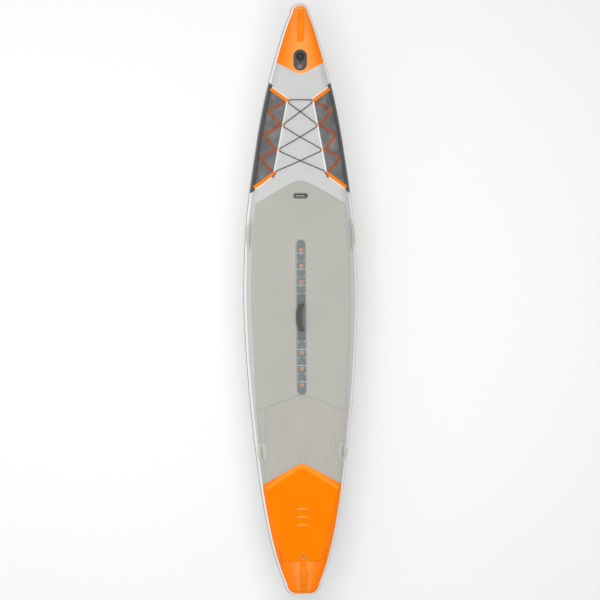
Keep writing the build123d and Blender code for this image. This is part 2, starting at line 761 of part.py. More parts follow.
# ---- inflation valve ----------------------------------------------------------------------
PLATE_TOP = COVER_TOP + GLUE + 1.2
FLANGE_LOW = PLATE_TOP + 0.4
FLANGE_HIGH = FLANGE_LOW + 4.0
FLANGE_RADIUS = 28.5
THROAT_OUTER = 20.0
THROAT_BORE = 15.5
THROAT_DEPTH = 38.0
STEM = 3.0                   # plunger stem radius
STEM_FIT = 0.05
SEAT_HIGH = -26.0
SEAT_LOW = -30.0
HUB_TOP = -18.0
BUTTON_LOW = -7.0


def valve_frame():
    return surface_plane(VALVE_Y, span=70)


def disc(radius, low, high, hole=0.0):
    """Flat round piece between two heights, with an optional hole."""
    solid = Pos(0, 0, low) * Cylinder(radius, high - low, align=ON_BASE)
    if hole:
        solid = solid - Pos(0, 0, low - 1) * Cylinder(hole, high - low + 2, align=ON_BASE)
    return solid


def valve_plate():
    """Dark oval reinforcement that the valve stands on."""
    outline = Pos(0, 1542) * SlotOverall(135, 87, rotation=90)
    low = COVER_TOP + GLUE
    plate = cut_layer(deck_layer(low, PLATE_TOP, 40, 1470, 1614), outline)
    return plate - upright(valve_hole())


def valve_body():
    """Flanged barrel with the valve seat and the spider that guides the plunger."""
    barrel = disc(FLANGE_RADIUS, FLANGE_LOW, FLANGE_HIGH) + disc(
        THROAT_OUTER, -THROAT_DEPTH, FLANGE_LOW + 1
    )
    barrel -= disc(THROAT_BORE, SEAT_HIGH, FLANGE_HIGH + 1)
    barrel -= disc(THROAT_BORE, -THROAT_DEPTH - 1, SEAT_LOW)
    barrel -= disc(12, SEAT_LOW - 1, SEAT_HIGH + 1)
    for i in range(3):
        arm = Pos(0, 0, SEAT_HIGH) * Box(THROAT_BORE + 1, 3, HUB_TOP - SEAT_HIGH,
                                         align=(Align.MIN, Align.CENTER, Align.MIN))
        barrel += Rot(0, 0, 120 * i) * arm
    barrel += disc(6.5, SEAT_HIGH, HUB_TOP)
    barrel -= disc(STEM + STEM_FIT, SEAT_LOW, HUB_TOP + 1)
    return valve_frame() * barrel


def valve_nut():
    """Inner ring nut that clamps the skin against the flange."""
    nut = disc(27, -SKIN - 12, -SKIN - 2.4, THROAT_OUTER + GLUE)
    for i in range(8):
        nut -= Rot(0, 0, 45 * i) * Pos(27, 0, -SKIN - 7) * Box(4, 5, 12)
    return valve_frame() * nut


def valve_gasket():
    return valve_frame() * disc(26, -SKIN - 2.2, -SKIN - 0.4, THROAT_OUTER + GLUE)


def valve_plunger():
    """Poppet that air pressure and the spring hold shut from below."""
    stem = disc(STEM, SEAT_LOW - 2, BUTTON_LOW + 1)
    button = disc(6, BUTTON_LOW, BUTTON_LOW + 3)
    poppet = disc(14, SEAT_LOW - 3.3, SEAT_LOW - 0.3)
    return valve_frame() * (stem + button + poppet)


def valve_spring():
    """Compression spring between the spider and the plunger's button, as stacked turns."""
    turns = 5
    room = BUTTON_LOW - HUB_TOP - 0.4
    pitch = (room - 1.0) / (turns - 1)
    rings = [Pos(0, 0, HUB_TOP + 0.7 + pitch * i) * Torus(4.4, 0.5) for i in range(turns)]
    return valve_frame() * Compound(children=[solids_of(ring)[0] for ring in rings])


CAP_LOW = FLANGE_HIGH + 0.3
CAP_HIGH = CAP_LOW + 8.0
CAP_RADIUS = 21.5


def valve_cap():
    """Bayonet cap with a finger bar on top and a grooved plug below."""
    cap = disc(CAP_RADIUS, CAP_LOW, CAP_HIGH) + disc(14.8, -2, CAP_LOW + 1)
    cap -= disc(15.5, 1.6, 4.4, 12.9)
    for i in range(12):
        cap -= Rot(0, 0, 30 * i + 15) * Pos(CAP_RADIUS + 1.2, 0, CAP_LOW) * Cylinder(2.4, 20)
    for side in (-1, 1):
        pocket = Pos(side * 9.5, 0, CAP_HIGH - 4) * extrude(SlotOverall(26, 11, rotation=90), 5)
        cap -= pocket
    return valve_frame() * cap


def valve_cap_seal():
    return valve_frame() * Pos(0, 0, 3) * Torus(14.1, 1.1)


def valve_tether():
    """Soft ring round the cap with a short tongue that keeps the cap from being lost."""
    ring = disc(27.5, FLANGE_HIGH + 0.3, FLANGE_HIGH + 2.3, CAP_RADIUS + 0.8)
    tongue = Pos(0, -31, FLANGE_HIGH + 0.3) * extrude(SlotOverall(16, 10, rotation=90), 2)
    tongue -= disc(CAP_RADIUS + 0.8, FLANGE_LOW, CAP_HIGH)
    return valve_frame() * (ring + tongue)


# ---- leash ring ---------------------------------------------------------------------------
LEASH_Y = -1628.0
RING_WIRE = 2.0
RING_HALF = 13.0             # half the inside length of the ring's bar
BAR_Y = -14.0                # the ring's bar, behind the patch's centre
LEASH_BASE = TAIL_PAD_HIGH + GLUE + 0.2
BAR_HEIGHT = LEASH_BASE + 1.2 + GLUE + 3.8
RING_DROOP = -5.0


def leash_frame():
    return surface_plane(LEASH_Y, span=50)


def leash_patch():
    """Round patch bonded on the tail pad."""
    return leash_frame() * disc(17.5, LEASH_BASE, LEASH_BASE + 1.2)


def leash_loop():
    """Webbing folded round the ring's bar and sewn down on the patch."""
    bar = Location((0, BAR_Y, BAR_HEIGHT))
    fold = bar * Rot(0, 90, 0) * Cylinder(3.8, 20)
    flap = Pos(0, BAR_Y, BAR_HEIGHT - 3.8) * Box(20, 26, 2.6, align=(Align.CENTER, Align.MIN, Align.MIN))
    ramp = Pos(0, BAR_Y, BAR_HEIGHT - 3.8) * Box(20, 6, 7.6, align=(Align.CENTER, Align.MIN, Align.MIN))
    hole = bar * Rot(0, 90, 0) * Cylinder(RING_WIRE + 0.3, 30)
    return leash_frame() * (fold + flap + ramp - hole)


def leash_ring():
    """D-shaped wire ring."""
    arm = RING_HALF
    pieces = Rot(0, 90, 0) * Cylinder(RING_WIRE, 2 * RING_HALF)
    for side in (-1, 1):
        pieces += Pos(side * RING_HALF, -arm / 2, 0) * Rot(90, 0, 0) * Cylinder(RING_WIRE, arm)
        pieces += Pos(side * RING_HALF, 0, 0) * Sphere(RING_WIRE)
    bow = Torus(RING_HALF, RING_WIRE) & Pos(0, -20, 0) * Box(60, 40, 10)
    pieces += Pos(0, -arm, 0) * bow
    return leash_frame() * Pos(0, BAR_Y, BAR_HEIGHT) * Rot(-RING_DROOP, 0, 0) * pieces


# ---- fin and its box ----------------------------------------------------------------------
BOX_TOP = 1.6                # local z of the fin box runs downwards from the hull's bottom
BOX_DEPTH = 26.0
SLOT_WIDTH = 9.6
SLOT_LENGTH = 250.0
SLOT_ROOF = 5.5
GROOVE_LOW = 8.0
GROOVE_HIGH = 12.6
GROOVE_WIDTH = 16.2
TAB_THICK = 9.0
PIN_Y = -72.0
PIN_Z = 10.3
SCREW_Y = 80.0
SCREW_RADIUS = 2.08
SCREW_HOLE = 2.15
PLATE_Z = 9.5                # near face of the nut plate


def fin_frame():
    """Local axes under the tail: y forwards, z downwards from the bottom skin."""
    slope = (bottom_rise(FIN_BOX_Y + 5) - bottom_rise(FIN_BOX_Y - 5)) / 10
    forward = Vector(0, 1, slope).normalized()
    down = Vector(0, slope, -1).normalized()
    return Plane(origin=(0, FIN_BOX_Y, bottom_rise(FIN_BOX_Y)), x_dir=forward.cross(down), z_dir=down)


def slab(length, width, low, high, y=0.0, corner=0.0):
    """Block lying along y between two depths."""
    outline = RectangleRounded(width, length, corner) if corner else Rectangle(width, length)
    return Pos(0, y, low) * extrude(outline, high - low)


def fin_box_patch():
    return fin_frame() * slab(360, 110, GLUE, GLUE + PATCH, corner=30)


def fin_box():
    """Moulded channel with inner grooves, open below, with a wider gate in its middle."""
    box = slab(330, 80, BOX_TOP, BOX_TOP + 2.5, corner=20)
    box += slab(SLOT_LENGTH + 20, 28, BOX_TOP, BOX_DEPTH, corner=8)
    box -= slab(SLOT_LENGTH, SLOT_WIDTH, SLOT_ROOF, BOX_DEPTH + 1)
    box -= slab(SLOT_LENGTH, GROOVE_WIDTH, GROOVE_LOW, GROOVE_HIGH)
    box -= slab(14, GROOVE_WIDTH, GROOVE_LOW, BOX_DEPTH + 1)
    return fin_frame() * box


# Foil sections of the fin from root to tip: (depth, chord, thickness, y of the middle)
FOIL = [(26.4, 168, 8.6, -6), (70, 146, 8.2, -18), (120, 118, 7.2, -44), (168, 84, 5.6, -79),
        (204, 48, 3.8, -112), (218, 26, 2.4, -130)]


def fin():
    """Raked foil with a long tab in the slot and a front ear for the screw."""
    sections = [Pos(0, y, z) * Ellipse(thick / 2, chord / 2) for z, chord, thick, y in FOIL]
    foil = loft(sections)
    tab = slab(160, TAB_THICK, 6.5, BOX_DEPTH + 1, y=-12)
    neck = slab(24, TAB_THICK, 14.5, 21.5, y=78)
    pin_hole = Pos(0, PIN_Y, PIN_Z) * Rot(0, 90, 0) * Cylinder(1.62, 30)
    screw_hole = Pos(0, SCREW_Y, 0) * Cylinder(SCREW_HOLE, 60)
    return fin_frame() * (foil + tab + neck - pin_hole - screw_hole)


def fin_pin():
    return fin_frame() * Pos(0, PIN_Y, PIN_Z) * Rot(0, 90, 0) * Cylinder(1.6, 15)


def fin_screw():
    """Pan-head screw with a driver slot."""
    shank = disc(SCREW_RADIUS, 6.6, 22)
    head = disc(4.2, 21.8, 24.6)
    slot = Pos(0, 0, 24) * Box(10, 1.2, 1.6)
    return fin_frame() * Pos(0, SCREW_Y, 0) * (shank + head - slot)


def fin_nut_plate():
    plate = slab(12.7, 12.7, PLATE_Z, PLATE_Z + 3)
    return fin_frame() * Pos(0, SCREW_Y, 0) * (plate - disc(SCREW_HOLE, 0, 30))


# ---- EXPORTS ------------------------------------------------------------------------------
def all_nodes():
    """Every piece by its node name."""
    deck, bottom, wall_left, wall_right = hull_skins()
    net = net_right()
    nodes = {
        "deck_panel": deck - upright(valve_hole()),
        "bottom_panel": bottom,
        "side_wall_left": wall_left,
        "side_wall_right": wall_right,
        "net_left": mirror(net, Plane.YZ),
        "net_right": net,
        "carry_handle_webbing": strap_loop("carry_handle"),
        "carry_handle_tabs": Compound(children=strap_tabs("carry_handle")),
        "carry_handle_patches": Compound(children=strap_patches("carry_handle")),
        "nose_strap": strap_loop("nose_strap"),
        "tail_strap": strap_loop("tail_strap"),
        "end_strap_tabs": end_straps(strap_tabs),
        "end_strap_patches": end_straps(strap_patches),
        "side_handle_tabs": side_handles(strap_tabs),
        "side_handle_patches": side_handles(strap_patches),
    }
    for name in ("mid_handle", "rear_handle", "tail_handle"):
        nodes[f"{name}_left"] = strap_loop(name, -1)
        nodes[f"{name}_right"] = strap_loop(name, 1)
    single = [
        rail_stripes, drop_stitch_yarns, nose_cover, tail_cover, deck_pad_front, deck_pad_rear,
        tail_pad, tail_pad_bars, badge_plate, centre_strip, strip_marks, strip_numerals,
        net_rail_bindings, net_end_bindings, net_pipings, zigzag_tapes, bungee_cord,
        bungee_loops, bungee_stoppers, carry_handle_grip, valve_plate, valve_body, valve_nut,
        valve_gasket, valve_plunger, valve_spring, valve_cap, valve_cap_seal, valve_tether,
        leash_patch, leash_loop, leash_ring, fin_box_patch, fin_box, fin, fin_pin, fin_screw,
        fin_nut_plate,
    ]
    for make in single:
        nodes[make.__name__] = make()
    return nodes


os.makedirs("parts", exist_ok=True)
for node, shape in all_nodes().items():
    pieces = solids_of(shape)
    whole = pieces[0] if len(pieces) == 1 else Compound(children=pieces)
    export_step(whole, f"parts/{node}.step")
    print(node, len(pieces))
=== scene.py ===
"""Looks of the inflatable touring board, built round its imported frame. Sizes here are millimetres."""
import math

import bmesh
import bpy
from mathutils import Matrix, Vector


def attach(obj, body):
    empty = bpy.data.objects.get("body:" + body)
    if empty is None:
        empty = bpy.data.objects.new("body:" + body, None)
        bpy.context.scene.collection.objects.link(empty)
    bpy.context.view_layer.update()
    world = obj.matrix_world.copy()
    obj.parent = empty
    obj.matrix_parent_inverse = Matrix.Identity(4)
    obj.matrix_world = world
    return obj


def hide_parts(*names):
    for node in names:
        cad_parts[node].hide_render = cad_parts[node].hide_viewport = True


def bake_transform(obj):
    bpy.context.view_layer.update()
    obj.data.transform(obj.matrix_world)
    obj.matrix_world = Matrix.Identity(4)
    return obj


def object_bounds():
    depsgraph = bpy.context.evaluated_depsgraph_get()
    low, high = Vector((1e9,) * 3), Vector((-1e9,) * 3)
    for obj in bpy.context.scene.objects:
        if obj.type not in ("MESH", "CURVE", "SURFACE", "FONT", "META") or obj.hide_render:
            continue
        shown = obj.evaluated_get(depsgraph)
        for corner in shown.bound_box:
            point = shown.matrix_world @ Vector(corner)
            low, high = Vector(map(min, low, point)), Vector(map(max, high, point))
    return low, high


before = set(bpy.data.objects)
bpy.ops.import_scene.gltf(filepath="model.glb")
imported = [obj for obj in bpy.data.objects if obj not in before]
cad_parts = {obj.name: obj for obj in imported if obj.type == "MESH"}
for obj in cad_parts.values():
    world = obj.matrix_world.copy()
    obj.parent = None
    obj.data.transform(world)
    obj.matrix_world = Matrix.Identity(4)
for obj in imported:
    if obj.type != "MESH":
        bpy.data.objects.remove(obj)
cad_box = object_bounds()
MM = 0.001

# ---- hull form, as in the frame ------------------------------------------------------------
NOSE_Y = 1905.0
TAIL_Y = -1905.0
THICKNESS = 150.0
OUTLINE = [
    (-1830, 118), (-1731, 156), (-1539, 209), (-1282, 257), (-1025, 292), (-768, 320),
    (-511, 343), (-254, 359), (30, 368), (389, 357), (646, 332), (903, 296), (1160, 254),
    (1417, 197), (1674, 124), (1757, 97), (1845, 62),
]
NOSE_ROUND = 62.0
TAIL_ROUND = 78.0
TAIL_FLAT = 40.0
ROCKER_NOSE = (600.0, 150.0)     # where the nose rocker starts, and its rise
ROCKER_TAIL = (-1100.0, 35.0)
THIN_NOSE = (1000.0, 34.0)       # where the thickness starts to shrink, and by how much
THIN_TAIL = (-1400.0, 14.0)


def outline_slopes():
    """Slopes of the monotone cubic through the outline points."""
    steps = [b[0] - a[0] for a, b in zip(OUTLINE, OUTLINE[1:])]
    rises = [(b[1] - a[1]) / (b[0] - a[0]) for a, b in zip(OUTLINE, OUTLINE[1:])]
    slopes = [rises[0]] + [0.0] * (len(OUTLINE) - 2) + [rises[-1]]
    for i in range(1, len(OUTLINE) - 1):
        if rises[i - 1] * rises[i] > 0:
            near = 2 * steps[i] + steps[i - 1]
            far = steps[i] + 2 * steps[i - 1]
            slopes[i] = (near + far) / (near / rises[i - 1] + far / rises[i])
    return slopes


SLOPES = outline_slopes()


def plan_width(y):
    y = max(OUTLINE[0][0], min(OUTLINE[-1][0], y))
    k = next(i for i in range(len(OUTLINE) - 1) if y <= OUTLINE[i + 1][0])
    (y0, w0), (y1, w1) = OUTLINE[k], OUTLINE[k + 1]
    step = y1 - y0
    t = (y - y0) / step
    start = (2 * t**3 - 3 * t**2 + 1) * w0 + (t**3 - 2 * t**2 + t) * step * SLOPES[k]
    return start + (3 * t**2 - 2 * t**3) * w1 + (t**3 - t**2) * step * SLOPES[k + 1]


def bottom_rise(y):
    if y > ROCKER_NOSE[0]:
        return ROCKER_NOSE[1] * ((y - ROCKER_NOSE[0]) / (NOSE_Y - ROCKER_NOSE[0])) ** 2
    if y < ROCKER_TAIL[0]:
        return ROCKER_TAIL[1] * ((ROCKER_TAIL[0] - y) / (ROCKER_TAIL[0] - TAIL_Y)) ** 2
    return 0.0


def full_thickness(y):
    if y > THIN_NOSE[0]:
        return THICKNESS - THIN_NOSE[1] * ((y - THIN_NOSE[0]) / (NOSE_Y - THIN_NOSE[0])) ** 2
    if y < THIN_TAIL[0]:
        return THICKNESS - THIN_TAIL[1] * ((THIN_TAIL[0] - y) / (THIN_TAIL[0] - TAIL_Y)) ** 2
    return THICKNESS


def chord(radius, depth):
    depth = max(0.0, min(radius, depth))
    return math.sqrt(max(0.0, radius**2 - (radius - depth) ** 2))


def half_thickness(y, grow=0.0):
    nose_radius = full_thickness(NOSE_Y) / 2
    tail_radius = full_thickness(TAIL_Y) / 2
    if NOSE_Y - y < nose_radius:
        return chord(nose_radius + grow, NOSE_Y + grow - y)
    if y - TAIL_Y < tail_radius:
        return chord(tail_radius + grow, y - TAIL_Y + grow)
    return full_thickness(y) / 2 + grow


def half_width(y, grow=0.0):
    if y > OUTLINE[-1][0]:
        wide = chord(NOSE_ROUND + grow, NOSE_Y + grow - y)
    elif y < OUTLINE[0][0]:
        wide = TAIL_FLAT + chord(TAIL_ROUND + grow, y - TAIL_Y + grow)
    else:
        wide = plan_width(y) + grow
    return max(wide, half_thickness(y, grow))


def mid_height(y):
    return bottom_rise(y) + full_thickness(y) / 2


def edge_x(y, inset):
    """Half width of a line that runs inside the outline at an inset."""
    if y > NOSE_Y - NOSE_ROUND:
        return chord(NOSE_ROUND - inset, NOSE_Y - inset - y)
    if y < TAIL_Y + TAIL_ROUND:
        if y < TAIL_Y + inset:
            return 0.0
        return TAIL_FLAT + chord(TAIL_ROUND - inset, y - TAIL_Y - inset)
    return half_width(y) - inset


def rail_angle(x, y):
    """Angle from upright of the skin's normal at a plan position."""
    radius = half_thickness(y)
    past = abs(x) - (half_width(y) - radius)
    if past <= 0 or radius < 1e-6:
        return 0.0
    return math.asin(min(1.0, past / radius))


def skin(x, y, lift=0.0, under=False):
    """Point on the upper (or lower) skin at a plan position, raised by lift."""
    turn = rail_angle(x, y)
    flat = half_width(y) - half_thickness(y)
    radius = max(0.0, half_thickness(y, lift))
    side = -1 if x < 0 else 1
    out = abs(x) if turn == 0.0 else flat + radius * math.sin(turn)
    up = radius * math.cos(turn)
    return Vector((side * out, y, mid_height(y) + (-up if under else up)))


def rail(turn, y, side, lift=0.0):
    """Point on the rail; turn is 0 at the deck and pi at the bottom."""
    flat = half_width(y) - half_thickness(y)
    radius = max(0.0, half_thickness(y, lift))
    return Vector((side * (flat + radius * math.sin(turn)), y, mid_height(y) + radius * math.cos(turn)))


def arc_x(s, y):
    """Plan position of the point at girth s from the centreline."""
    radius = half_thickness(y)
    flat = half_width(y) - radius
    if abs(s) <= flat:
        return s
    return math.copysign(flat + radius * math.sin(min(math.pi / 2, (abs(s) - flat) / radius)), s)


def girth(x, y):
    """Distance over the skin from the centreline to a plan position."""
    flat = half_width(y) - half_thickness(y)
    if abs(x) <= flat:
        return x
    return math.copysign(flat + half_thickness(y) * rail_angle(x, y), x)


# ---- mesh helpers --------------------------------------------------------------------------
def spread(low, high, count):
    return [low + (high - low) * i / (count - 1) for i in range(count)]


def stations(low=TAIL_Y, high=NOSE_Y, step=22.0, fine=90.0):
    """Stations along the board, close together near its two rounded ends."""
    ys = []
    for end, sign in ((TAIL_Y, 1), (NOSE_Y, -1)):
        ys += [end + sign * fine * (1 - math.cos(a)) for a in spread(0.0, math.pi / 2, 16)]
    count = int((NOSE_Y - TAIL_Y - 2 * fine) / step)
    ys += spread(TAIL_Y + fine, NOSE_Y - fine, count)[1:-1]
    inside = sorted(y for y in ys if low + 2 < y < high - 2)
    return [low] + inside + [high]


def piece(title, points, faces, material, body="board", stands_for=(), slot=None, uvs=None):
    """Mesh object from millimetre points; it rides on a body and replaces CAD nodes."""
    name = title.replace(" ", "_")
    mesh = bpy.data.meshes.new(name)
    mesh.from_pydata([Vector(p) * MM for p in points], [], faces)
    if uvs:
        layer = mesh.uv_layers.new(name="length")
        for loop in mesh.loops:
            layer.data[loop.index].uv = uvs[loop.vertex_index]
    work = bmesh.new()
    work.from_mesh(mesh)
    bmesh.ops.remove_doubles(work, verts=work.verts, dist=1e-6)
    bmesh.ops.dissolve_degenerate(work, edges=work.edges, dist=1e-6)
    bmesh.ops.recalc_face_normals(work, faces=work.faces)
    work.to_mesh(mesh)
    work.free()
    for polygon in mesh.polygons:
        polygon.use_smooth = True
    materials = material if isinstance(material, (list, tuple)) else [material]
    for each in materials:
        mesh.materials.append(each)
    obj = bpy.data.objects.new(name, mesh)
    bpy.context.scene.collection.objects.link(obj)
    if body:
        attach(obj, body)
    if stands_for:
        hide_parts(*stands_for)
    return obj


def bake_modifiers(obj):
    """Replace the mesh by its modified form."""
    depsgraph = bpy.context.evaluated_depsgraph_get()
    mesh = bpy.data.meshes.new_from_object(obj.evaluated_get(depsgraph))
    obj.modifiers.clear()
    obj.data = mesh
    return obj


def sharpen(obj, degrees=40.0):
    """Keep creases crisp on a smooth mesh."""
    obj.data.set_sharp_from_angle(angle=math.radians(degrees))
    return obj


def thicken(obj, depth):
    """Give a sheet its thickness, inwards."""
    modifier = obj.modifiers.new("thickness", "SOLIDIFY")
    modifier.thickness = depth * MM
    modifier.offset = -1
    bake_modifiers(obj)
    return sharpen(obj)


def grid(rows):
    """Points and quads of a sheet given as rows of equal length."""
    wide = len(rows[0])
    points = [p for row in rows for p in row]
    faces = []
    for i in range(len(rows) - 1):
        for j in range(wide - 1):
            a = i * wide + j
            faces.append((a, a + 1, a + wide + 1, a + wide))
    return points, faces


def tube_rings(rings, capped=True):
    """Points and faces of closed rings joined end to end."""
    wide = len(rings[0])
    points = [p for ring in rings for p in ring]
    faces = []
    for i in range(len(rings) - 1):
        for j in range(wide):
            a = i * wide + j
            b = i * wide + (j + 1) % wide
            faces.append((a, b, b + wide, a + wide))
    if capped:
        faces.append(tuple(range(wide)))
        last = (len(rings) - 1) * wide
        faces.append(tuple(range(last + wide - 1, last - 1, -1)))
    return points, faces


def plate(xs, ts, rear, front, edge, top, low, rim=1.2):
    """Closed pad between a rear and a front line, cut off at its side edges.

    xs are columns on the right half from the centre outwards, ts the rows from 0 at the rear line
    to 1 at the front, top(x, y, inside) the height at a point that lies `inside` mm in from the rim.
    """
    columns = sorted({x for x in xs} | {-x for x in xs})

    def place(x, t):
        y = rear(abs(x)) + (front(abs(x)) - rear(abs(x))) * t
        for _ in range(8):
            limit = max(0.0, edge(y))
            near = min(abs(x), limit)
            y = rear(near) + (front(near) - rear(near)) * t
        return math.copysign(min(abs(x), limit), x), y, limit

    rings = []
    for t in ts:
        top_row = []
        low_row = []
        _, _, reach = place(columns[-1], t)
        for x in columns:
            px, py, limit = place(x, t)
            inner = max(0.0, reach - 2 * rim)
            if abs(px) > inner and abs(x) != columns[-1]:
                px, py, limit = place(math.copysign(min(abs(x), inner), x), t)
            inside = min(limit - abs(px), py - rear(abs(px)), front(abs(px)) - py)
            top_row.append(skin(px, py, top(px, py, inside)))
            low_row.append(skin(px, py, low))
        rings.append(top_row + low_row[::-1])
    return tube_rings(rings, capped=False), len(columns)


def pad_piece(name, shape, material, **extra):
    """Pad object from plate(), with its two end walls closed."""
    (points, faces), wide = shape
    count = 2 * wide
    rows = len(points) // count
    for start in (0, (rows - 1) * count):
        for j in range(wide - 1):
            faces.append((start + j, start + j + 1, start + count - 2 - j, start + count - 1 - j))
    return sharpen(piece(name, points, faces, material, **extra), 50)


# ---- materials -----------------------------------------------------------------------------
class Paint:
    """A Principled material with small helpers for its pattern nodes."""

    def __init__(self, name, color, rough, metal=0.0, specular=0.5, coat=0.0, sheen=0.0):
        self.material = bpy.data.materials.new(name)
        self.material.use_nodes = True
        self.material.diffuse_color = (*color, 1)
        self.tree = self.material.node_tree
        self.shader = self.tree.nodes["Principled BSDF"]
        self.color = color
        self.rough = rough
        self.normal = None
        self.shader.inputs["Base Color"].default_value = (*color, 1)
        self.shader.inputs["Roughness"].default_value = rough
        self.shader.inputs["Metallic"].default_value = metal
        self.shader.inputs["Specular IOR Level"].default_value = specular
        self.shader.inputs["Coat Weight"].default_value = coat
        self.shader.inputs["Coat Roughness"].default_value = 0.2
        self.shader.inputs["Sheen Weight"].default_value = sheen
        self.place = self.node("ShaderNodeTexCoord").outputs["Object"]
        self.along = self.node("ShaderNodeTexCoord").outputs["UV"]

    def node(self, kind, **settings):
        made = self.tree.nodes.new(kind)
        for key, value in settings.items():
            setattr(made, key, value)
        return made

    def feed(self, socket, value):
        if hasattr(value, "is_output"):
            self.tree.links.new(value, socket)
        else:
            socket.default_value = value

    def calc(self, operation, a, b=0.0, c=None):
        made = self.node("ShaderNodeMath", operation=operation)
        self.feed(made.inputs[0], a)
        self.feed(made.inputs[1], b)
        if c is not None:
            self.feed(made.inputs[2], c)
        return made.outputs[0]

    def axes(self, vector=None):
        made = self.node("ShaderNodeSeparateXYZ")
        self.feed(made.inputs[0], self.place if vector is None else vector)
        return made.outputs

    def noise(self, size_mm, detail=3.0, stretch=(1, 1, 1)):
        scaled = self.node("ShaderNodeVectorMath", operation="MULTIPLY")
        self.feed(scaled.inputs[0], self.place)
        scaled.inputs[1].default_value = [c / (size_mm * MM) for c in stretch]
        made = self.node("ShaderNodeTexNoise")
        self.feed(made.inputs["Vector"], scaled.outputs[0])
        made.inputs["Scale"].default_value = 1.0
        made.inputs["Detail"].default_value = detail
        return made.outputs["Fac"]

    def cells(self, size_mm):
        scaled = self.node("ShaderNodeVectorMath", operation="MULTIPLY")
        self.feed(scaled.inputs[0], self.place)
        scaled.inputs[1].default_value = [1 / (size_mm * MM)] * 3
        made = self.node("ShaderNodeTexVoronoi", feature="F1")
        self.feed(made.inputs["Vector"], scaled.outputs[0])
        made.inputs["Scale"].default_value = 1.0
        return made.outputs["Distance"]

    def wave(self, value, pitch_mm, phase=0.0):
        """Sine of a length, between 0 and 1."""
        turned = self.calc("MULTIPLY_ADD", value, 2 * math.pi / (pitch_mm * MM), phase)
        return self.calc("MULTIPLY_ADD", self.calc("SINE", turned), 0.5, 0.5)

    def ramp(self, value, low, high, low_out=0.0, high_out=1.0):
        made = self.node("ShaderNodeMapRange", clamp=True)
        self.feed(made.inputs["Value"], value)
        made.inputs["From Min"].default_value = low
        made.inputs["From Max"].default_value = high
        made.inputs["To Min"].default_value = low_out
        made.inputs["To Max"].default_value = high_out
        return made.outputs["Result"]

    def blend(self, amount, a, b):
        made = self.node("ShaderNodeMix", data_type="RGBA")
        self.feed(made.inputs["Factor"], amount)
        for socket, value in ((made.inputs[6], a), (made.inputs[7], b)):
            self.feed(socket, value if hasattr(value, "is_output") else (*value, 1))
        return made.outputs[2]

    def vary(self, amount, dark=0.9, light=1.06):
        """Base colour that drifts between a darker and a lighter tone."""
        low = [c * dark for c in self.color]
        high = [min(1.0, c * light) for c in self.color]
        mixed = self.blend(amount, low, high)
        self.tree.links.new(mixed, self.shader.inputs["Base Color"])
        return mixed

    def tint(self, socket):
        self.tree.links.new(socket, self.shader.inputs["Base Color"])

    def roughen(self, value, low, high):
        self.tree.links.new(self.ramp(value, 0.25, 0.75, low, high), self.shader.inputs["Roughness"])

    def bump(self, height, depth_mm, strength=1.0):
        made = self.node("ShaderNodeBump")
        made.inputs["Strength"].default_value = strength
        made.inputs["Distance"].default_value = depth_mm * MM
        self.tree.links.new(height, made.inputs["Height"])
        if self.normal is not None:
            self.tree.links.new(self.normal, made.inputs["Normal"])
        self.normal = made.outputs["Normal"]
        self.tree.links.new(self.normal, self.shader.inputs["Normal"])


def coated(name, color, rough=0.42, specular=0.45):
    """PVC-coated drop-stitch fabric: smooth, with a faint weave and drop-stitch dimples."""
    return fabric_paint(name, color, rough, specular).material


def fabric_paint(name, color, rough, specular):
    paint = Paint(name, color, rough, specular=specular)
    x, y, _ = paint.axes()
    paint.vary(paint.noise(160, 4), 0.965, 1.03)
    paint.roughen(paint.noise(35, 3), rough - 0.06, rough + 0.08)
    dimple = paint.calc("MULTIPLY", paint.wave(x, 9.0), paint.wave(y, 9.0))
    weave = paint.calc("MULTIPLY", paint.wave(x, 1.1), paint.wave(y, 1.1))
    paint.bump(dimple, 0.10, 0.35)
    paint.bump(weave, 0.05, 0.5)
    paint.bump(paint.noise(420, 2), 1.6, 0.35)
    return paint


def cover_sheet(name, color, rough):
    """Coloured fabric that is paler along the middle and deeper towards the rails: partly its print, and
    partly a painted highlight along the middle and painted shade where the rails curve away.
    """
    paint = fabric_paint(name, color, rough, 0.14)
    x, y, _ = paint.axes()
    away = paint.calc("ABSOLUTE", x)
    from_tip = paint.calc("SUBTRACT", 1.95, paint.calc("ABSOLUTE", y))
    print_and_painted_light_share = paint.calc("DIVIDE", away, paint.calc("MULTIPLY_ADD", from_tip, 0.30, 0.045))
    soft = paint.calc("ADD", print_and_painted_light_share, paint.calc("MULTIPLY", paint.noise(90, 2), 0.12))
    # painted highlight and shade: the blend pales the middle and deepens the colour towards the rails,
    # partly print and partly light painted into the colour
    pale = paint.blend(paint.ramp(soft, 0.15, 0.75), (0.99, 0.345, 0.060), (0.98, 0.210, 0.001))
    paint.tint(pale)
    return paint.material


def foam(name, color, streak=0.0, dots=0.0, rough=0.86, lines=0.0, specular=0.25, sheen=0.12):
    """Closed-cell EVA with fine open pores; streak brushes it lengthways, dots adds a tread, and lines
    paints shade into the grooves at that pitch.
    """
    paint = Paint(name, color, rough, specular=specular, sheen=sheen)
    x, y, _ = paint.axes()
    patchy = paint.noise(240, 4)
    brushed = paint.noise(5.0, 2, stretch=(1, 0.012, 0.2))
    mixed = paint.calc("MULTIPLY_ADD", brushed, streak, patchy)
    tone = paint.vary(paint.ramp(mixed, 0.25, 0.9 + streak), 0.93, 1.05)
    if lines:
        # painted shade: the colour darkens along lines at the groove pitch, where the pad's grooves lie
        # in shade
        groove = paint.ramp(paint.wave(x, lines, math.pi / 2), 0.80, 0.98)
        paint.tint(paint.blend(groove, tone, [c * 0.80 for c in color]))
    paint.roughen(paint.noise(20, 3), rough - 0.05, rough + 0.06)
    paint.bump(paint.cells(0.9), 0.12, 0.6)
    paint.bump(paint.noise(3.0, 4), 0.15, 0.5)
    if dots:
        diagonal = paint.calc("ADD", x, y)
        other = paint.calc("SUBTRACT", x, y)
        tread = paint.calc("MULTIPLY", paint.wave(diagonal, dots), paint.wave(other, dots))
        paint.bump(paint.ramp(tread, 0.1, 0.55), 0.7, 0.6)
    return paint.material


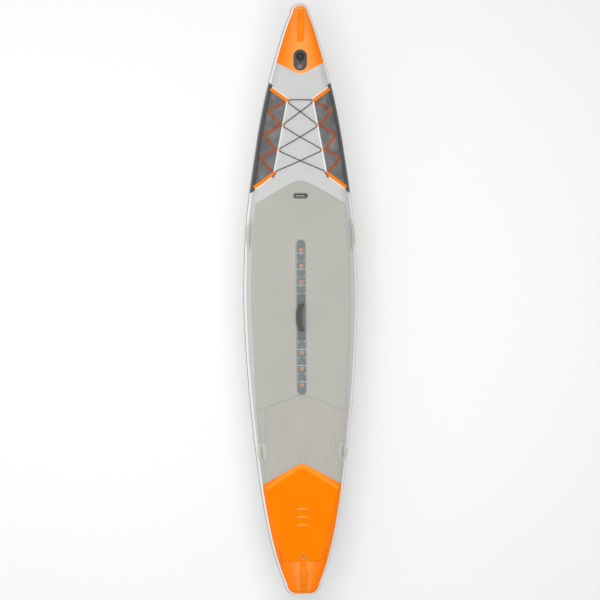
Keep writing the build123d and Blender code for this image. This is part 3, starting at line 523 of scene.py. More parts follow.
def woven(name, color, rough=0.62, sheen=0.25, melange_and_weave_shade=0.85, specular=0.4):
    """Flat nylon webbing; its u runs across and its v along, in metres. Its colour is painted lighter on
    the raised weave and darker in its hollows, and also drifts at random with the fuzz.
    """
    across_mm, along_mm = 1.5, 1.9
    paint = Paint(name, color, rough, specular=specular, sheen=sheen)
    u, v, _ = paint.axes(paint.along)
    slant = paint.calc("MULTIPLY_ADD", u, 1.0, v)
    counter = paint.calc("SUBTRACT", v, u)
    twill = paint.calc("MULTIPLY", paint.wave(slant, along_mm), paint.wave(counter, across_mm))
    ribs = paint.wave(u, across_mm * 2.0)
    height = paint.calc("MULTIPLY_ADD", twill, 0.7, paint.calc("MULTIPLY", ribs, 0.3))
    fuzz = paint.noise(0.8, 2)
    # painted shade and highlight: the tone follows the weave's height, darker in its hollows and lighter
    # on its raised yarns, plus random fuzz
    tone = paint.calc("MULTIPLY_ADD", fuzz, 0.4, paint.calc("MULTIPLY", height, 0.8))
    paint.vary(tone, melange_and_weave_shade, 1.12)
    paint.roughen(fuzz, rough - 0.05, rough + 0.1)
    paint.bump(height, 0.35, 0.8)
    paint.bump(fuzz, 0.1, 0.4)
    return paint.material


def braided(name, color, pitch=3.4):
    """Braided sleeve of a bungee; u goes round the cord and v along it, in metres. Its raised strands are
    painted lighter as a highlight, with random flecks.
    """
    paint = Paint(name, color, 0.6, specular=0.4, sheen=0.3)
    u, v, _ = paint.axes(paint.along)
    right = paint.wave(paint.calc("ADD", v, u), pitch)
    left = paint.wave(paint.calc("SUBTRACT", v, u), pitch)
    braid = paint.calc("MAXIMUM", right, left)
    fleck = paint.ramp(paint.noise(1.2, 2), 0.55, 0.75)
    # painted highlight: the colour lightens on the braid's raised strands, plus random flecks
    paint.vary(paint.calc("MULTIPLY_ADD", braid, 0.6, fleck), 0.75, 1.7)
    paint.bump(braid, 0.4, 0.8)
    return paint.material


def moulded(name, color, rough=0.36, grain_mm=0.7, depth=0.05, specular=0.5, coat=0.0):
    """Injection-moulded plastic or rubber with a fine spark-eroded grain."""
    paint = Paint(name, color, rough, specular=specular, coat=coat)
    paint.vary(paint.noise(18, 3), 0.9, 1.15)
    paint.roughen(paint.noise(6, 4), rough - 0.06, rough + 0.1)
    paint.bump(paint.noise(grain_mm, 3), depth, 0.6)
    return paint.material


def steel(name, color=(0.62, 0.62, 0.61), rough=0.24):
    paint = Paint(name, color, rough, metal=1.0)
    paint.vary(paint.noise(4, 3), 0.92, 1.05)
    paint.roughen(paint.noise(2.5, 4, stretch=(1, 6, 1)), rough - 0.05, rough + 0.12)
    paint.bump(paint.noise(1.2, 2, stretch=(0.2, 3, 1)), 0.02, 0.4)
    return paint.material


def threads(name, color):
    paint = Paint(name, color, 0.5, specular=0.4, sheen=0.3)
    paint.vary(paint.noise(0.7, 2), 0.8, 1.1)
    paint.bump(paint.noise(0.4, 2), 0.08, 0.6)
    return paint.material


M = {
    "deck": coated("pvc deck grey", (0.522, 0.530, 0.522)),
    "white": coated("pvc white", (0.86, 0.855, 0.84), 0.36),
    "stripe": coated("rail stripe grey", (0.23, 0.235, 0.23), 0.45),
    "stripe_nose": coated("rail stripe orange", (0.62, 0.12, 0.03), 0.45),
    "cover": cover_sheet("cover orange", (0.96, 0.235, 0.012), 0.44),
    "seam": coated("seam tape white", (0.83, 0.83, 0.815), 0.42),
    "eva": foam("deck pad foam", (0.465, 0.460, 0.415), streak=0.5),
    "eva_tail": foam("tail pad foam", (0.98, 0.225, 0.0), dots=6.5, specular=0.05, sheen=0.0),
    "eva_rear": foam("rear pad foam", (0.485, 0.475, 0.428), streak=0.3, lines=13.5),
    "eva_kick": foam("tail kick foam", (0.98, 0.318, 0.018), specular=0.08, sheen=0.0),
    "bar": foam("foot bar foam", (0.95, 0.33, 0.06), specular=0.08, sheen=0.0),
    "strip": foam("rule strip foam", (0.190, 0.220, 0.222), streak=0.2),
    "mark": threads("rule print", (0.62, 0.67, 0.66)),
    "numeral": threads("numeral print", (0.93, 0.34, 0.15)),
    "binding": woven("dark binding", (0.050, 0.053, 0.054), rough=0.6),
    "orange_web": woven("orange webbing", (0.97, 0.225, 0.003), 0.7, 0.03, 0.92, 0.12),
    "tape": woven("zigzag tape", (0.95, 0.20, 0.03)),
    "grey_web": woven("grey webbing", (0.150, 0.165, 0.166)),
    "light_web": woven("light grey webbing", (0.53, 0.535, 0.48)),
    "piping": coated("piping white", (0.86, 0.855, 0.83), 0.4),
    "bungee": braided("bungee braid", (0.028, 0.030, 0.032)),
    "black": moulded("black plastic", (0.010, 0.0105, 0.011), 0.5, specular=0.25),
    "rubber": moulded("black rubber", (0.016, 0.016, 0.016), 0.55),
    "plate": moulded("valve plate", (0.085, 0.083, 0.078), 0.6, 1.2, specular=0.2),
    "badge": moulded("badge plate", (0.022, 0.023, 0.024), 0.4),
    "badge_rim": moulded("badge rim", (0.42, 0.43, 0.42), 0.45),
    "patch_orange": coated("orange patch", (0.97, 0.230, 0.003), 0.42, 0.12),
    "patch_grey": coated("grey patch", (0.50, 0.51, 0.50), 0.45),
    "patch_pad": coated("pad coloured patch", (0.500, 0.495, 0.450), 0.5, 0.25),
    "patch_strip": foam("handle patch", (0.150, 0.175, 0.178)),
    "grip": moulded("grip neoprene", (0.088, 0.086, 0.074), 0.8, 1.0, 0.12, specular=0.2),
    "steel": steel("stainless steel"),
    "brass": steel("brass", (0.72, 0.5, 0.22), 0.3),
    "fin": moulded("fin nylon", (0.014, 0.0145, 0.016), 0.3, 1.5, 0.03, coat=0.25),
    "yarn": threads("drop-stitch yarn", (0.75, 0.75, 0.72)),
    "thread_orange": threads("orange thread", (0.80, 0.13, 0.01)),
    "thread_pale": threads("pale thread", (0.42, 0.43, 0.42)),
    "thread_dark": threads("dark thread", (0.035, 0.035, 0.035)),
}


# ---- hull skins ----------------------------------------------------------------------------
WALL_INSET = 15.0
SKIN = 1.6


def wall_turn(y):
    """Rail angle at which the deck panel meets the side wall."""
    return rail_angle(edge_x(y, WALL_INSET), y)


def panel(name, node, material, under):
    """Deck or bottom panel, from one side wall to the other."""
    low = TAIL_Y + WALL_INSET + 0.2
    high = NOSE_Y - WALL_INSET - 0.2
    rows = []
    for y in stations(low, high):
        reach = girth(edge_x(y, WALL_INSET), y)
        rows.append([skin(arc_x(s * reach, y), y, 0.0, under) for s in spread(-1, 1, 45)])
    points, faces = grid(rows)
    return thicken(piece(name, points, faces, material, stands_for=[node]), SKIN)


def side_wall(side, name, node):
    """White rail band that wraps from the deck round to the bottom."""
    rows = []
    for y in stations():
        top = wall_turn(y) if edge_x(y, WALL_INSET) > 0 else 0.0
        if edge_x(y, WALL_INSET) <= 0:
            flat = half_width(y) - half_thickness(y)
            roof = mid_height(y) + half_thickness(y)
            upper = [Vector((side * flat * k, y, roof)) for k in (0, 0.34, 0.67)]
            lower = [Vector((p.x, y, 2 * mid_height(y) - p.z)) for p in reversed(upper)]
        else:
            start = edge_x(y, WALL_INSET)
            flat = half_width(y) - half_thickness(y)
            ends = spread(min(start, flat), flat, 4)[:3]
            upper = [skin(side * x, y) for x in ends]
            lower = [skin(side * x, y, 0.0, True) for x in reversed(ends)]
        turns = spread(top, math.pi - top, 29)
        rows.append(upper + [rail(t, y, side) for t in turns] + lower)
    points, faces = grid(rows)
    return thicken(piece(name, points, faces, M["white"], stands_for=[node]), SKIN)


def rail_band(name, low_turn, high_turn, lift, depth, material, side, low, high, nodes=()):
    """Band on the rail between two angles, which may depend on the station."""
    rows = []
    for y in stations(low, high):
        first = low_turn(y) if callable(low_turn) else low_turn
        last = high_turn(y) if callable(high_turn) else high_turn
        rows.append([rail(t, y, side, lift) for t in spread(first, last, 7)])
    points, faces = grid(rows)
    return thicken(piece(name, points, faces, material, stands_for=nodes), depth)


def stripe_reach(y):
    """Half angle of the rail stripe, which is 20 mm up and down."""
    return math.asin(min(1.0, 20.0 / max(20.0, half_thickness(y))))


def build_hull():
    panel("deck skin", "deck_panel", M["deck"], False)
    panel("bottom skin", "bottom_panel", M["white"], True)
    for side, word in ((-1, "left"), (1, "right")):
        side_wall(side, f"side wall {word}", f"side_wall_{word}")
        nodes = ["rail_stripes"] if side > 0 else []
        up = lambda y: math.pi / 2 - stripe_reach(y)
        down = lambda y: math.pi / 2 + stripe_reach(y)
        rail_band(f"stripe {word}", up, down, 0.5, 0.4, M["stripe"], side, TAIL_Y + 3, 1795, nodes)
        rail_band(f"nose stripe {word}", up, down, 0.5, 0.4, M["stripe_nose"], side, 1796, NOSE_Y - 1)
        seam_top = lambda y: wall_turn(y) - 0.02
        seam_end = lambda y: wall_turn(y) + 0.16
        rail_band(f"seam tape {word}", seam_top, seam_end, 0.35, 0.3, M["seam"], side, -1850, 1850)


# ---- covers and pads -----------------------------------------------------------------------
COVER_TOP = 1.1
COVER_INSET = 15.0
CHEVRON_TIP_Y = -1055.0
CHEVRON_SLOPE = 145.0 / 250.0
SEAM_TIP_Y = -607.0
SEAM_SLOPE = 109.0 / 291.0
PAD_BASE = 0.2
PAD_TOP = 5.2
TAIL_PAD_LOW = 1.3
TAIL_PAD_TOP = 6.3
TAIL_PAD_END = -1683.0
REAR_HANDLE_Y = -983.0
STRIP_Y = -111.0
STRIP_LENGTH = 1003.0
STRIP_WIDTH = 60.0
STRIP_TOP = 3.4


def rounded_vee(tip_y, slope, radius):
    """A V line whose point is rounded; positive slope falls towards the rails."""
    def line(x):
        return tip_y - slope * (math.hypot(x, radius) - radius)
    return line


def smooth_step(value, low, high):
    t = max(0.0, min(1.0, (value - low) / (high - low)))
    return t * t * (3 - 2 * t)


def fine_rows(count, length, edge=1.5):
    """Rows from 0 to 1 with extra ones close to both ends."""
    near = edge / length
    body = spread(0.0, 1.0, count)[1:-1]
    return [0.0, near, 2.2 * near] + [t for t in body if 3 * near < t < 1 - 3 * near] + [
        1 - 2.2 * near, 1 - near, 1.0]


def round_rows(count):
    """Rows that crowd towards the front, for an end that is rounded off."""
    return [math.sin(a) for a in spread(0.0, math.pi / 2, count)]


def eased(top, fall=1.0, width=2.4):
    """Pad height with a softened rim."""
    return lambda x, y, inside: top - fall * (1 - smooth_step(inside, 0.0, width))


def build_covers():
    rear = rounded_vee(1457, -0.545, 26)
    shape = plate(spread(0, 160, 33), round_rows(60), rear, lambda x: NOSE_Y - COVER_INSET,
                  lambda y: edge_x(y, COVER_INSET), eased(COVER_TOP, 0.5, 1.5), 0.2)
    pad_piece("nose cover sheet", shape, M["cover"], stands_for=["nose_cover"])
    front = rounded_vee(CHEVRON_TIP_Y, CHEVRON_SLOPE, 24)
    rows = [1 - t for t in reversed(round_rows(60))]
    shape = plate(spread(0, 252, 40), rows, lambda x: TAIL_Y + COVER_INSET, front,
                  lambda y: edge_x(y, COVER_INSET), eased(COVER_TOP, 0.5, 1.5), 0.2)
    pad_piece("tail cover sheet", shape, M["cover"], stands_for=["tail_cover"])


def grooves(x, pitch, width, depth):
    """Depth of straight lengthwise grooves at a distance from the centreline."""
    away = abs((abs(x) + pitch / 2) % pitch - pitch / 2)
    return depth * (1 - smooth_step(away, width * 0.3, width * 0.5))


def groove_columns(reach, pitch, width):
    """Columns that resolve grooves of a pitch."""
    xs = [0.0]
    k = 0
    while k * pitch <= reach + pitch:
        for offset in (-0.5, -0.3, 0.0, 0.3, 0.5):
            x = k * pitch + offset * width
            if 0 <= x <= reach:
                xs.append(x)
        k += 1
    return sorted(set(round(x, 4) for x in xs + [reach]))


def in_strip(x, y, margin):
    """How far a point lies inside the rule strip's rounded outline, widened by a margin."""
    radius = STRIP_WIDTH / 2 + margin
    straight = STRIP_LENGTH / 2 - STRIP_WIDTH / 2
    away = math.hypot(x, max(0.0, abs(y - STRIP_Y) - straight))
    return radius - away


def pad_edge(y):
    """Half width of the grey deck pads."""
    points = [(-1200, 22), (-768, 33), (-382, 46), (100, 47), (595, 47)]
    y = max(points[0][0], min(points[-1][0], y))
    for (y0, a), (y1, b) in zip(points, points[1:]):
        if y <= y1:
            return half_width(y) - (a + (b - a) * smooth_step(y, y0, y1))
    return half_width(y) - 47


def notched_edge(y):
    """Side of the rear pad with its finger recess beside the rear handle."""
    edge = pad_edge(y)
    along = (y - REAR_HANDLE_Y) / 74
    if abs(along) < 1:
        middle = half_width(REAR_HANDLE_Y) - 33
        edge = min(edge, middle - 38 * math.sqrt(1 - along**2))
    return edge


def build_deck_pads():
    pitch, width = 9.0, 2.0
    seam = rounded_vee(SEAM_TIP_Y, SEAM_SLOPE, 1)
    front = lambda x: 768 - 0.605 * (math.hypot(x, 46) - 46)
    columns = sorted(set(groove_columns(322, pitch, width) + [29.4, 30.6]))
    rim = eased(PAD_TOP, 2.2, 3.5)

    def front_top(x, y, inside):
        height = rim(x, y, inside) - grooves(x, pitch, width, 0.9)
        return min(height, PAD_TOP - 4.6 * smooth_step(in_strip(x, y, 0.6), -0.6, 0.6))

    shape = plate(columns, fine_rows(170, 1484), seam, front, pad_edge, front_top, PAD_BASE, 1.6)
    pad_piece("front deck pad", shape, M["eva"], stands_for=["deck_pad_front"])

    wide_pitch, wide = 13.5, 3.2
    columns = groove_columns(292, wide_pitch, wide)
    rear = lambda x: CHEVRON_TIP_Y + 3 - CHEVRON_SLOPE * (math.hypot(x, 24) - 24)
    lead = lambda x: min(seam(x) - 1.6, STRIP_Y - STRIP_LENGTH / 2 - 1.5 if abs(x) < 14 else 0)

    def rear_top(x, y, inside):
        return rim(x, y, inside) - grooves(x, wide_pitch, wide, 1.8)

    shape = plate(columns, fine_rows(130, 590), rear, lead, notched_edge, rear_top, PAD_BASE, 1.6)
    pad_piece("rear deck pad", shape, M["eva_rear"], stands_for=["deck_pad_rear"])


def build_handle_bases():
    """Sheet in the pad's colour under each rear handle, inside the finger recess."""
    for side, word in ((-1, "left"), (1, "right")):
        rings = []
        for y in spread(REAR_HANDLE_Y - 73, REAR_HANDLE_Y + 73, 60):
            inner = notched_edge(y) + 0.6
            xs = spread(inner, pad_edge(y), 10)
            top = [skin(side * x, y, 0.7) for x in xs]
            low = [skin(side * x, y, 0.1) for x in xs]
            rings.append(top + low[::-1])
        points, faces = tube_rings(rings)
        piece(f"rear handle base {word}", points, faces, M["patch_pad"], slot="patch_grey")


def tail_side(y):
    """Half width of the tail pad."""
    points = [(-1683, 117), (-1640, 122), (-1571, 140), (-1440, 182), (-1282, 221), (-1206, 233)]
    if y > points[-1][0]:
        return 233 + (y - points[-1][0]) * 0.16
    for (y0, a), (y1, b) in zip(points, points[1:]):
        if y <= y1:
            return a + (b - a) * (y - y0) / (y1 - y0)
    return 117


def build_tail_pad():
    front = lambda x: CHEVRON_TIP_Y - 4 - 0.66 * (math.hypot(x, 24) - 24)
    kick_wide = 30.0

    def top(x, y, inside):
        from_front = front(abs(x)) - y
        ridge = 3.6 * smooth_step(from_front, 2, 9) * (1 - smooth_step(from_front, 19, kick_wide))
        groove = 1.2 * (1 - smooth_step(abs(from_front - kick_wide - 2), 0.8, 2.2))
        return TAIL_PAD_TOP + ridge - groove - 2.2 * (1 - smooth_step(inside, 0, 3.5))

    rows = spread(0, 1, 64)
    near = [1 - d / 560 for d in (2, 5, 9, 14, 19, 22, 26, 30, 32, 34, 38)]
    rows = sorted(set(rows + near + [0.003, 0.006]))
    shape = plate(spread(0, 240, 61), rows, lambda x: TAIL_PAD_END, front, tail_side, top,
                  TAIL_PAD_LOW, 1.6)
    obj = pad_piece("tail foam pad", shape, [M["eva_tail"], M["eva_kick"]], stands_for=["tail_pad"])
    for polygon in obj.data.polygons:
        x, y, _ = polygon.center / MM
        if front(abs(x)) - y < kick_wide + 1:
            polygon.material_index = 1


def stadium(length, width, steps=10):
    """Outline of an upright stadium about the origin."""
    radius = min(width, length) / 2
    straight = max(0.0, length / 2 - radius) if length > width else 0.0
    side = max(0.0, width / 2 - radius)
    points = []
    for quarter in range(4):
        cx = side if quarter in (0, 3) else -side
        cy = straight if quarter in (0, 1) else -straight
        for i in range(steps + 1):
            angle = math.pi / 2 * (quarter + i / steps)
            point = (cx + radius * math.cos(angle), cy + radius * math.sin(angle))
            if not points or math.dist(points[-1], point) > 0.01:
                points.append(point)
    return points[:-1] if math.dist(points[0], points[-1]) < 0.01 else points


def disc_slab(name, outline, centre, low, high, material, rim=0.6, **extra):
    """Thin plate with a softened rim that follows the deck, from an outline round a centre."""
    def ring(scale_in, lift):
        row = []
        for x, y in outline:
            size = math.hypot(x, y)
            k = max(0.0, size - scale_in) / size
            row.append(skin(centre[0] + x * k, centre[1] + y * k, lift))
        return row

    rings = [ring(0, low), ring(0, high - rim), ring(rim * 0.4, high - rim * 0.3), ring(rim, high)]
    largest = max(math.hypot(x, y) for x, y in outline)
    for k in (0.25, 0.5, 0.75):
        rings.append(ring(rim + largest * k, high))
    points, faces = tube_rings(rings)
    return sharpen(piece(name, points, faces, material, **extra), 50)


def shrunk(outline, amount):
    """An outline drawn in towards its own middle line; good for stadiums."""
    out = []
    count = len(outline)
    for i, (x, y) in enumerate(outline):
        px, py = outline[i - 1]
        nx, ny = outline[(i + 1) % count]
        tx, ty = nx - px, ny - py
        size = math.hypot(tx, ty) or 1.0
        out.append((x - ty / size * amount, y + tx / size * amount))
    return out


def flat_slab(name, outline, centre, low, high, material, rim=0.6, **extra):
    """Thin plate with parallel outline rings, for long shapes."""
    rings = []
    for inset, lift in ((0, low), (0, high - rim), (rim * 0.4, high - rim * 0.3), (rim, high)):
        rings.append([skin(centre[0] + x, centre[1] + y, lift) for x, y in shrunk(outline, inset)])
    points, faces = tube_rings(rings)
    return sharpen(piece(name, points, faces, material, **extra), 50)


def rim_line(name, outline, centre, inset, width, low, high, material, **extra):
    """Raised line that follows an outline."""
    rings = []
    outer = shrunk(outline, inset)
    inner = shrunk(outline, inset + width)
    for (ox, oy), (ix, iy) in zip(outer, inner):
        cx, cy = centre
        rings.append([skin(cx + ox, cy + oy, low), skin(cx + ox, cy + oy, high),
                      skin(cx + ix, cy + iy, high), skin(cx + ix, cy + iy, low)])
    rings.append(rings[0])
    points, faces = tube_rings(rings, capped=False)
    return sharpen(piece(name, points, faces, material, **extra), 50)


def build_strip():
    outline = stadium(STRIP_LENGTH, STRIP_WIDTH, 14)
    flat_slab("rule strip", outline, (0, STRIP_Y), 0.2, STRIP_TOP, M["strip"], 0.8,
              stands_for=["centre_strip"])
    rim_line("rule strip rim", outline, (0, STRIP_Y), -1.2, 1.4, 0.3, STRIP_TOP + 1.2, M["strip"],
             slot="strip")
    for i in range(3):
        bar = stadium(13, 68, 6)
        flat_slab(f"foot bar {i + 1}", bar, (0, -1345 - 51 * i), TAIL_PAD_TOP + 0.1,
                  TAIL_PAD_TOP + 1.0, M["bar"], 0.4, stands_for=["tail_pad_bars"] if i == 0 else ())
    badge = stadium(36, 97, 12)
    flat_slab("badge", badge, (0, 671), PAD_TOP - 0.4, PAD_TOP + 2.0, M["badge"], 0.7,
              stands_for=["badge_plate"])
    rim_line("badge rim", badge, (0, 671), 3.0, 1.6, PAD_TOP + 1.8, PAD_TOP + 2.3, M["badge_rim"],
             slot="badge")
    for i in range(3):
        flat_slab(f"badge pip {i + 1}", stadium(7, 14, 6), (20 * (i - 1), 671), PAD_TOP + 1.8,
                  PAD_TOP + 2.4, M["badge_rim"], 0.2, slot="badge")


# ---- bands, tubes and webbing --------------------------------------------------------------
def resampled(path, step):
    """A polyline in plan with extra points along its runs."""
    out = []
    for i, (x, y) in enumerate(path[:-1]):
        nx, ny = path[i + 1]
        count = max(1, round(math.hypot(nx - x, ny - y) / step))
        out += [(x + (nx - x) * k / count, y + (ny - y) * k / count) for k in range(count)]
    return out + [path[-1]]


def mitres(points):
    """Side direction at each point of a polyline, lengthened at the corners."""
    sides = []
    for i, (x, y) in enumerate(points):
        ways = []
        for a, b in ((i - 1, i), (i, i + 1)):
            if 0 <= a and b < len(points):
                way = Vector((points[b][0] - points[a][0], points[b][1] - points[a][1]))
                ways.append(way.normalized())
        mean = sum(ways, Vector((0, 0))).normalized()
        stretch = 1 / max(0.35, mean.dot(ways[0]))
        sides.append(Vector((mean.y, -mean.x)) * stretch)
    return sides


def band(name, path, width, low, high, material, offset=0.0, **extra):
    """Flat tape on the deck along a plan polyline."""
    points = resampled(path, 7.0)
    sides = mitres(points)
    run = [0.0]
    for (ax, ay), (bx, by) in zip(points, points[1:]):
        run.append(run[-1] + math.hypot(bx - ax, by - ay))
    rings = []
    uvs = []
    for (x, y), side, here in zip(points, sides, run):
        top = []
        low_row = []
        for k in (-1, -0.93, -0.5, 0, 0.5, 0.93, 1):
            shift = k * width / 2
            px = x + side.x * (shift + offset)
            py = y + side.y * (shift + offset)
            top.append(skin(px, py, high - (0.35 if abs(k) == 1 else 0.0)))
            low_row.append(skin(px, py, low))
            uvs.append((shift * MM, here * MM))
        rings.append(top + low_row[::-1])
        uvs += uvs[-7:][::-1]
    shape = tube_rings(rings)
    return piece(name, *shape, material, uvs=uvs, **extra)


def rounded_path(points, radius, step=5.0):
    """A 3-D polyline with its corners rounded off, evenly sampled."""
    out = [points[0]]
    for before, corner, after in zip(points, points[1:], points[2:]):
        back = before - corner
        ahead = after - corner
        cut = min(radius, back.length * 0.46, ahead.length * 0.46)
        start = corner + back.normalized() * cut
        stop = corner + ahead.normalized() * cut
        for k in range(9):
            t = k / 8
            out.append(start * (1 - t) ** 2 + corner * 2 * t * (1 - t) + stop * t**2)
    out.append(points[-1])
    fine = [out[0]]
    for a, b in zip(out, out[1:]):
        count = max(1, round((b - a).length / step))
        fine += [a + (b - a) * k / count for k in range(1, count + 1)]
    return [p for i, p in enumerate(fine) if i == 0 or (p - fine[i - 1]).length > 1e-4]


def round_tube(name, path, radius, material, sides=14, profile=None, **extra):
    """Round cord along a path, with lengths in its UVs; profile gives a radius per point."""
    rings = []
    uvs = []
    up = Vector((0, 0, 1))
    travelled = 0.0
    for i, p in enumerate(path):
        way = (path[min(i + 1, len(path) - 1)] - path[max(i - 1, 0)]).normalized()
        if i:
            travelled += (p - path[i - 1]).length
        across = way.cross(up).normalized()
        lift = across.cross(way)
        here = profile[i] if profile else radius
        ring = []
        for k in range(sides):
            angle = 2 * math.pi * k / sides
            ring.append(p + (across * math.cos(angle) + lift * math.sin(angle)) * here)
            uvs.append((angle * radius * MM, travelled * MM))
        rings.append(ring)
    points, faces = tube_rings(rings)
    return piece(name, points, faces, material, uvs=uvs, **extra)


def webbing(name, line, material, thick=2.2, **extra):
    """Flat strap through (centre, half width, across) stations, with lengths in its UVs."""
    rings = []
    uvs = []
    travelled = 0.0
    for i, (centre, wide, across) in enumerate(line):
        before = line[max(i - 1, 0)][0]
        after = line[min(i + 1, len(line) - 1)][0]
        if i:
            travelled += (centre - line[i - 1][0]).length
        way = (after - before).normalized()
        side = (across - way * across.dot(way)).normalized()
        up = side.cross(way).normalized()
        h = thick / 2
        ring = []
        profile = [(-1, -0.4), (-1, 0.4), (-0.955, 0.92), (-0.9, 1), (-0.45, 0.94), (0, 0.96),
                   (0.45, 0.94), (0.9, 1), (0.955, 0.92), (1, 0.4), (1, -0.4), (0.955, -0.92),
                   (0.9, -1), (0.45, -0.94), (0, -0.96), (-0.45, -0.94), (-0.9, -1), (-0.955, -0.92)]
        for a, b in profile:
            ring.append(centre + side * wide * a + up * h * b)
            uvs.append((wide * a * MM, travelled * MM))
        rings.append(ring)
    points, faces = tube_rings(rings)
    return piece(name, points, faces, material, uvs=uvs, **extra)


def stitches(name, lines, material, radius=0.55, length=3.6, gap=1.5, **extra):
    """Rows of short raised stitches along 3-D lines."""
    points = []
    faces = []
    for line in lines:
        left = 0.0
        for a, b in zip(line, line[1:]):
            way = (b - a).normalized()
            side = way.cross(Vector((0, 0, 1))).normalized()
            up = side.cross(way)
            at = left
            while at + length < (b - a).length + 0.01:
                first = len(points)
                for t, k in ((0, 0.35), (0.18, 1), (0.82, 1), (1, 0.35)):
                    middle = a + way * (at + length * t)
                    for j in range(6):
                        angle = math.pi * j / 3
                        turn = side * math.cos(angle) + up * math.sin(angle)
                        points.append(middle + turn * radius * k)
                for r in range(3):
                    for j in range(6):
                        p = first + 6 * r + j
                        q = first + 6 * r + (j + 1) % 6
                        faces.append((p, q, q + 6, p + 6))
                faces.append(tuple(range(first, first + 6)))
                faces.append(tuple(range(first + 23, first + 17, -1)))
                at += length + gap
            left = gap
    return piece(name, points, faces, material, **extra)


# ---- cargo nets and bungee -----------------------------------------------------------------
NET_INNER = [(174, 821), (88, 1282)]
ZIGZAG = [(101, 1272), (206, 1219), (127, 1128), (235, 1063), (159, 970), (262, 916), (183, 828)]


def net_point(side, s, t, lift):
    """Point of a net: s runs from its inner edge to the rail, t from rear to front."""
    (x0, y0), (x1, y1) = NET_INNER
    inner = girth(x0 + (x1 - x0) * t, y0 + (y1 - y0) * t)
    outer_y = 697 + (1381 - 697) * t
    outer = girth(edge_x(outer_y, 7), outer_y)
    y = (y0 + (y1 - y0) * t) * (1 - s) + outer_y * s
    return skin(side * arc_x(inner + (outer - inner) * s, y), y, lift)


def net_material():
    """Knotless netting: yarns on both diagonals, with open diamonds between them."""
    paint = Paint("cargo netting", (0.030, 0.032, 0.0325), 0.55, specular=0.4, sheen=0.4)
    x, y, _ = paint.axes()
    one = paint.wave(paint.calc("ADD", paint.calc("MULTIPLY", x, 1.5), y), 6.0)
    two = paint.wave(paint.calc("SUBTRACT", paint.calc("MULTIPLY", x, 1.5), y), 6.0)
    strands = paint.calc("MAXIMUM", one, two)
    slack = paint.noise(62, 2, stretch=(1.3, 1, 1))
    open_at = paint.ramp(slack, 0.35, 0.75, 0.60, 0.84)
    cover = paint.calc("GREATER_THAN", strands, open_at)
    paint.tree.links.new(cover, paint.shader.inputs["Alpha"])
    paint.vary(paint.noise(1.5, 2), 0.75, 1.3)
    paint.bump(strands, 0.5, 0.8)
    paint.bump(paint.noise(45, 2), 3.0, 0.4)
    return paint.material


def build_nets():
    net = net_material()
    for side, word in ((-1, "left"), (1, "right")):
        rows = []
        for i in range(141):
            t = i / 140
            row = []
            for j in range(41):
                s = j / 40
                calm = min(1.0, 8 * s, 8 * (1 - s), 14 * t, 14 * (1 - t))
                wrinkle = math.sin(9 * t * math.pi + 5 * s + side) * math.sin(4 * s * math.pi + 2 * t)
                row.append(net_point(side, s, t, 1.75 + 0.4 * calm * wrinkle))
            rows.append(row)
        points, faces = grid(rows)
        sheet = piece(f"cargo net {word}", points, faces, net, stands_for=[f"net_{word}"])

        tape = [(side * x, y) for x, y in ZIGZAG]
        band(f"zigzag tape {word}", tape, 21, 0.25, 1.0, M["tape"],
             stands_for=["zigzag_tapes"] if side > 0 else ())

        edge = [(side * (edge_x(y, 18)), y) for y in spread(691, 1397, 90)]
        wrapped = []
        for x, y in edge:
            reach = girth(edge_x(y, 6.5), y)
            start = girth(edge_x(y, 30), y)
            tip = min(1.0, (y - 691) / 15 + 0.1, (1397 - y) / 18 + 0.1)
            inner = reach - (reach - start) * tip
            ks = (0, 0.06, 0.3, 0.55, 0.8, 0.95, 1)
            top = [skin(side * arc_x(inner + (reach - inner) * k, y), y, 4.0 - 0.5 * (k in (0, 1)))
                   for k in ks]
            low = [skin(side * arc_x(inner + (reach - inner) * k, y), y, 0.3) for k in ks]
            wrapped.append(top + low[::-1])
        points, faces = tube_rings(wrapped)
        across = (0, 1, 2, 3, 4, 5, 6, 6, 5, 4, 3, 2, 1, 0)
        runs = [(k * 0.004, i * 0.008) for i in range(90) for k in across]
        piece(f"rail binding {word}", points, faces, M["binding"], uvs=runs,
              stands_for=["net_rail_bindings"] if side > 0 else ())
        seam = []
        for inset in (10.5, 25.5):
            seam.append([skin(side * edge_x(y, inset), y, 4.15) for y in spread(705, 1380, 60)])
        stitches(f"rail binding stitches {word}", seam, M["thread_dark"], 0.45, slot="binding_dark")

        front = [(side * 84, 1282), (side * 187, 1359)]
        rear = [(side * 170, 818), (side * 297, 725)]
        made = band(f"front net binding {word}", front, 21, 2.4, 5.0, M["orange_web"],
                    stands_for=["net_end_bindings"] if side > 0 else ())
        band(f"rear net binding {word}", rear, 21, 2.4, 5.0, M["orange_web"])
        out = -side
        band(f"front net edge {word}", front, 7, 0.3, 3.2, M["piping"], offset=13.5 * out, slot="piping")
        band(f"rear net edge {word}", rear, 7, 0.3, 3.2, M["piping"],
             offset=13.5 * side, slot="piping")
        lines = []
        for path in (front, rear):
            (ax, ay), (bx, by) = path
            way = Vector((bx - ax, by - ay)).normalized()
            for k in (-8, 8):
                lines.append([skin(ax + (bx - ax) * t + way.y * k, ay + (by - ay) * t - way.x * k, 5.15)
                              for t in spread(0.02, 0.98, 14)])
        stitches(f"net binding stitches {word}", lines, M["thread_orange"], 0.5, slot="webbing_orange")

        cord = [skin(side * (174 - 86 * t - 2.6), 821 + 461 * t, 2.4) for t in spread(0, 1, 60)]
        round_tube(f"net piping {word}", cord, 2.2, M["piping"],
                   stands_for=["net_pipings"] if side > 0 else ())
        flange = [(side * (174 - 86 * t - 5.5), 821 + 461 * t) for t in spread(0, 1, 3)]
        band(f"net piping flange {word}", flange, 8, 0.25, 0.9, M["piping"], slot="piping")


LACES = {"top": [(72, 1287), (77, 1268)], "mid": [(107, 1131), (108, 1115)],
         "low": [(133, 974), (134, 958)], "end": [(158.5, 829), (163.5, 813)]}


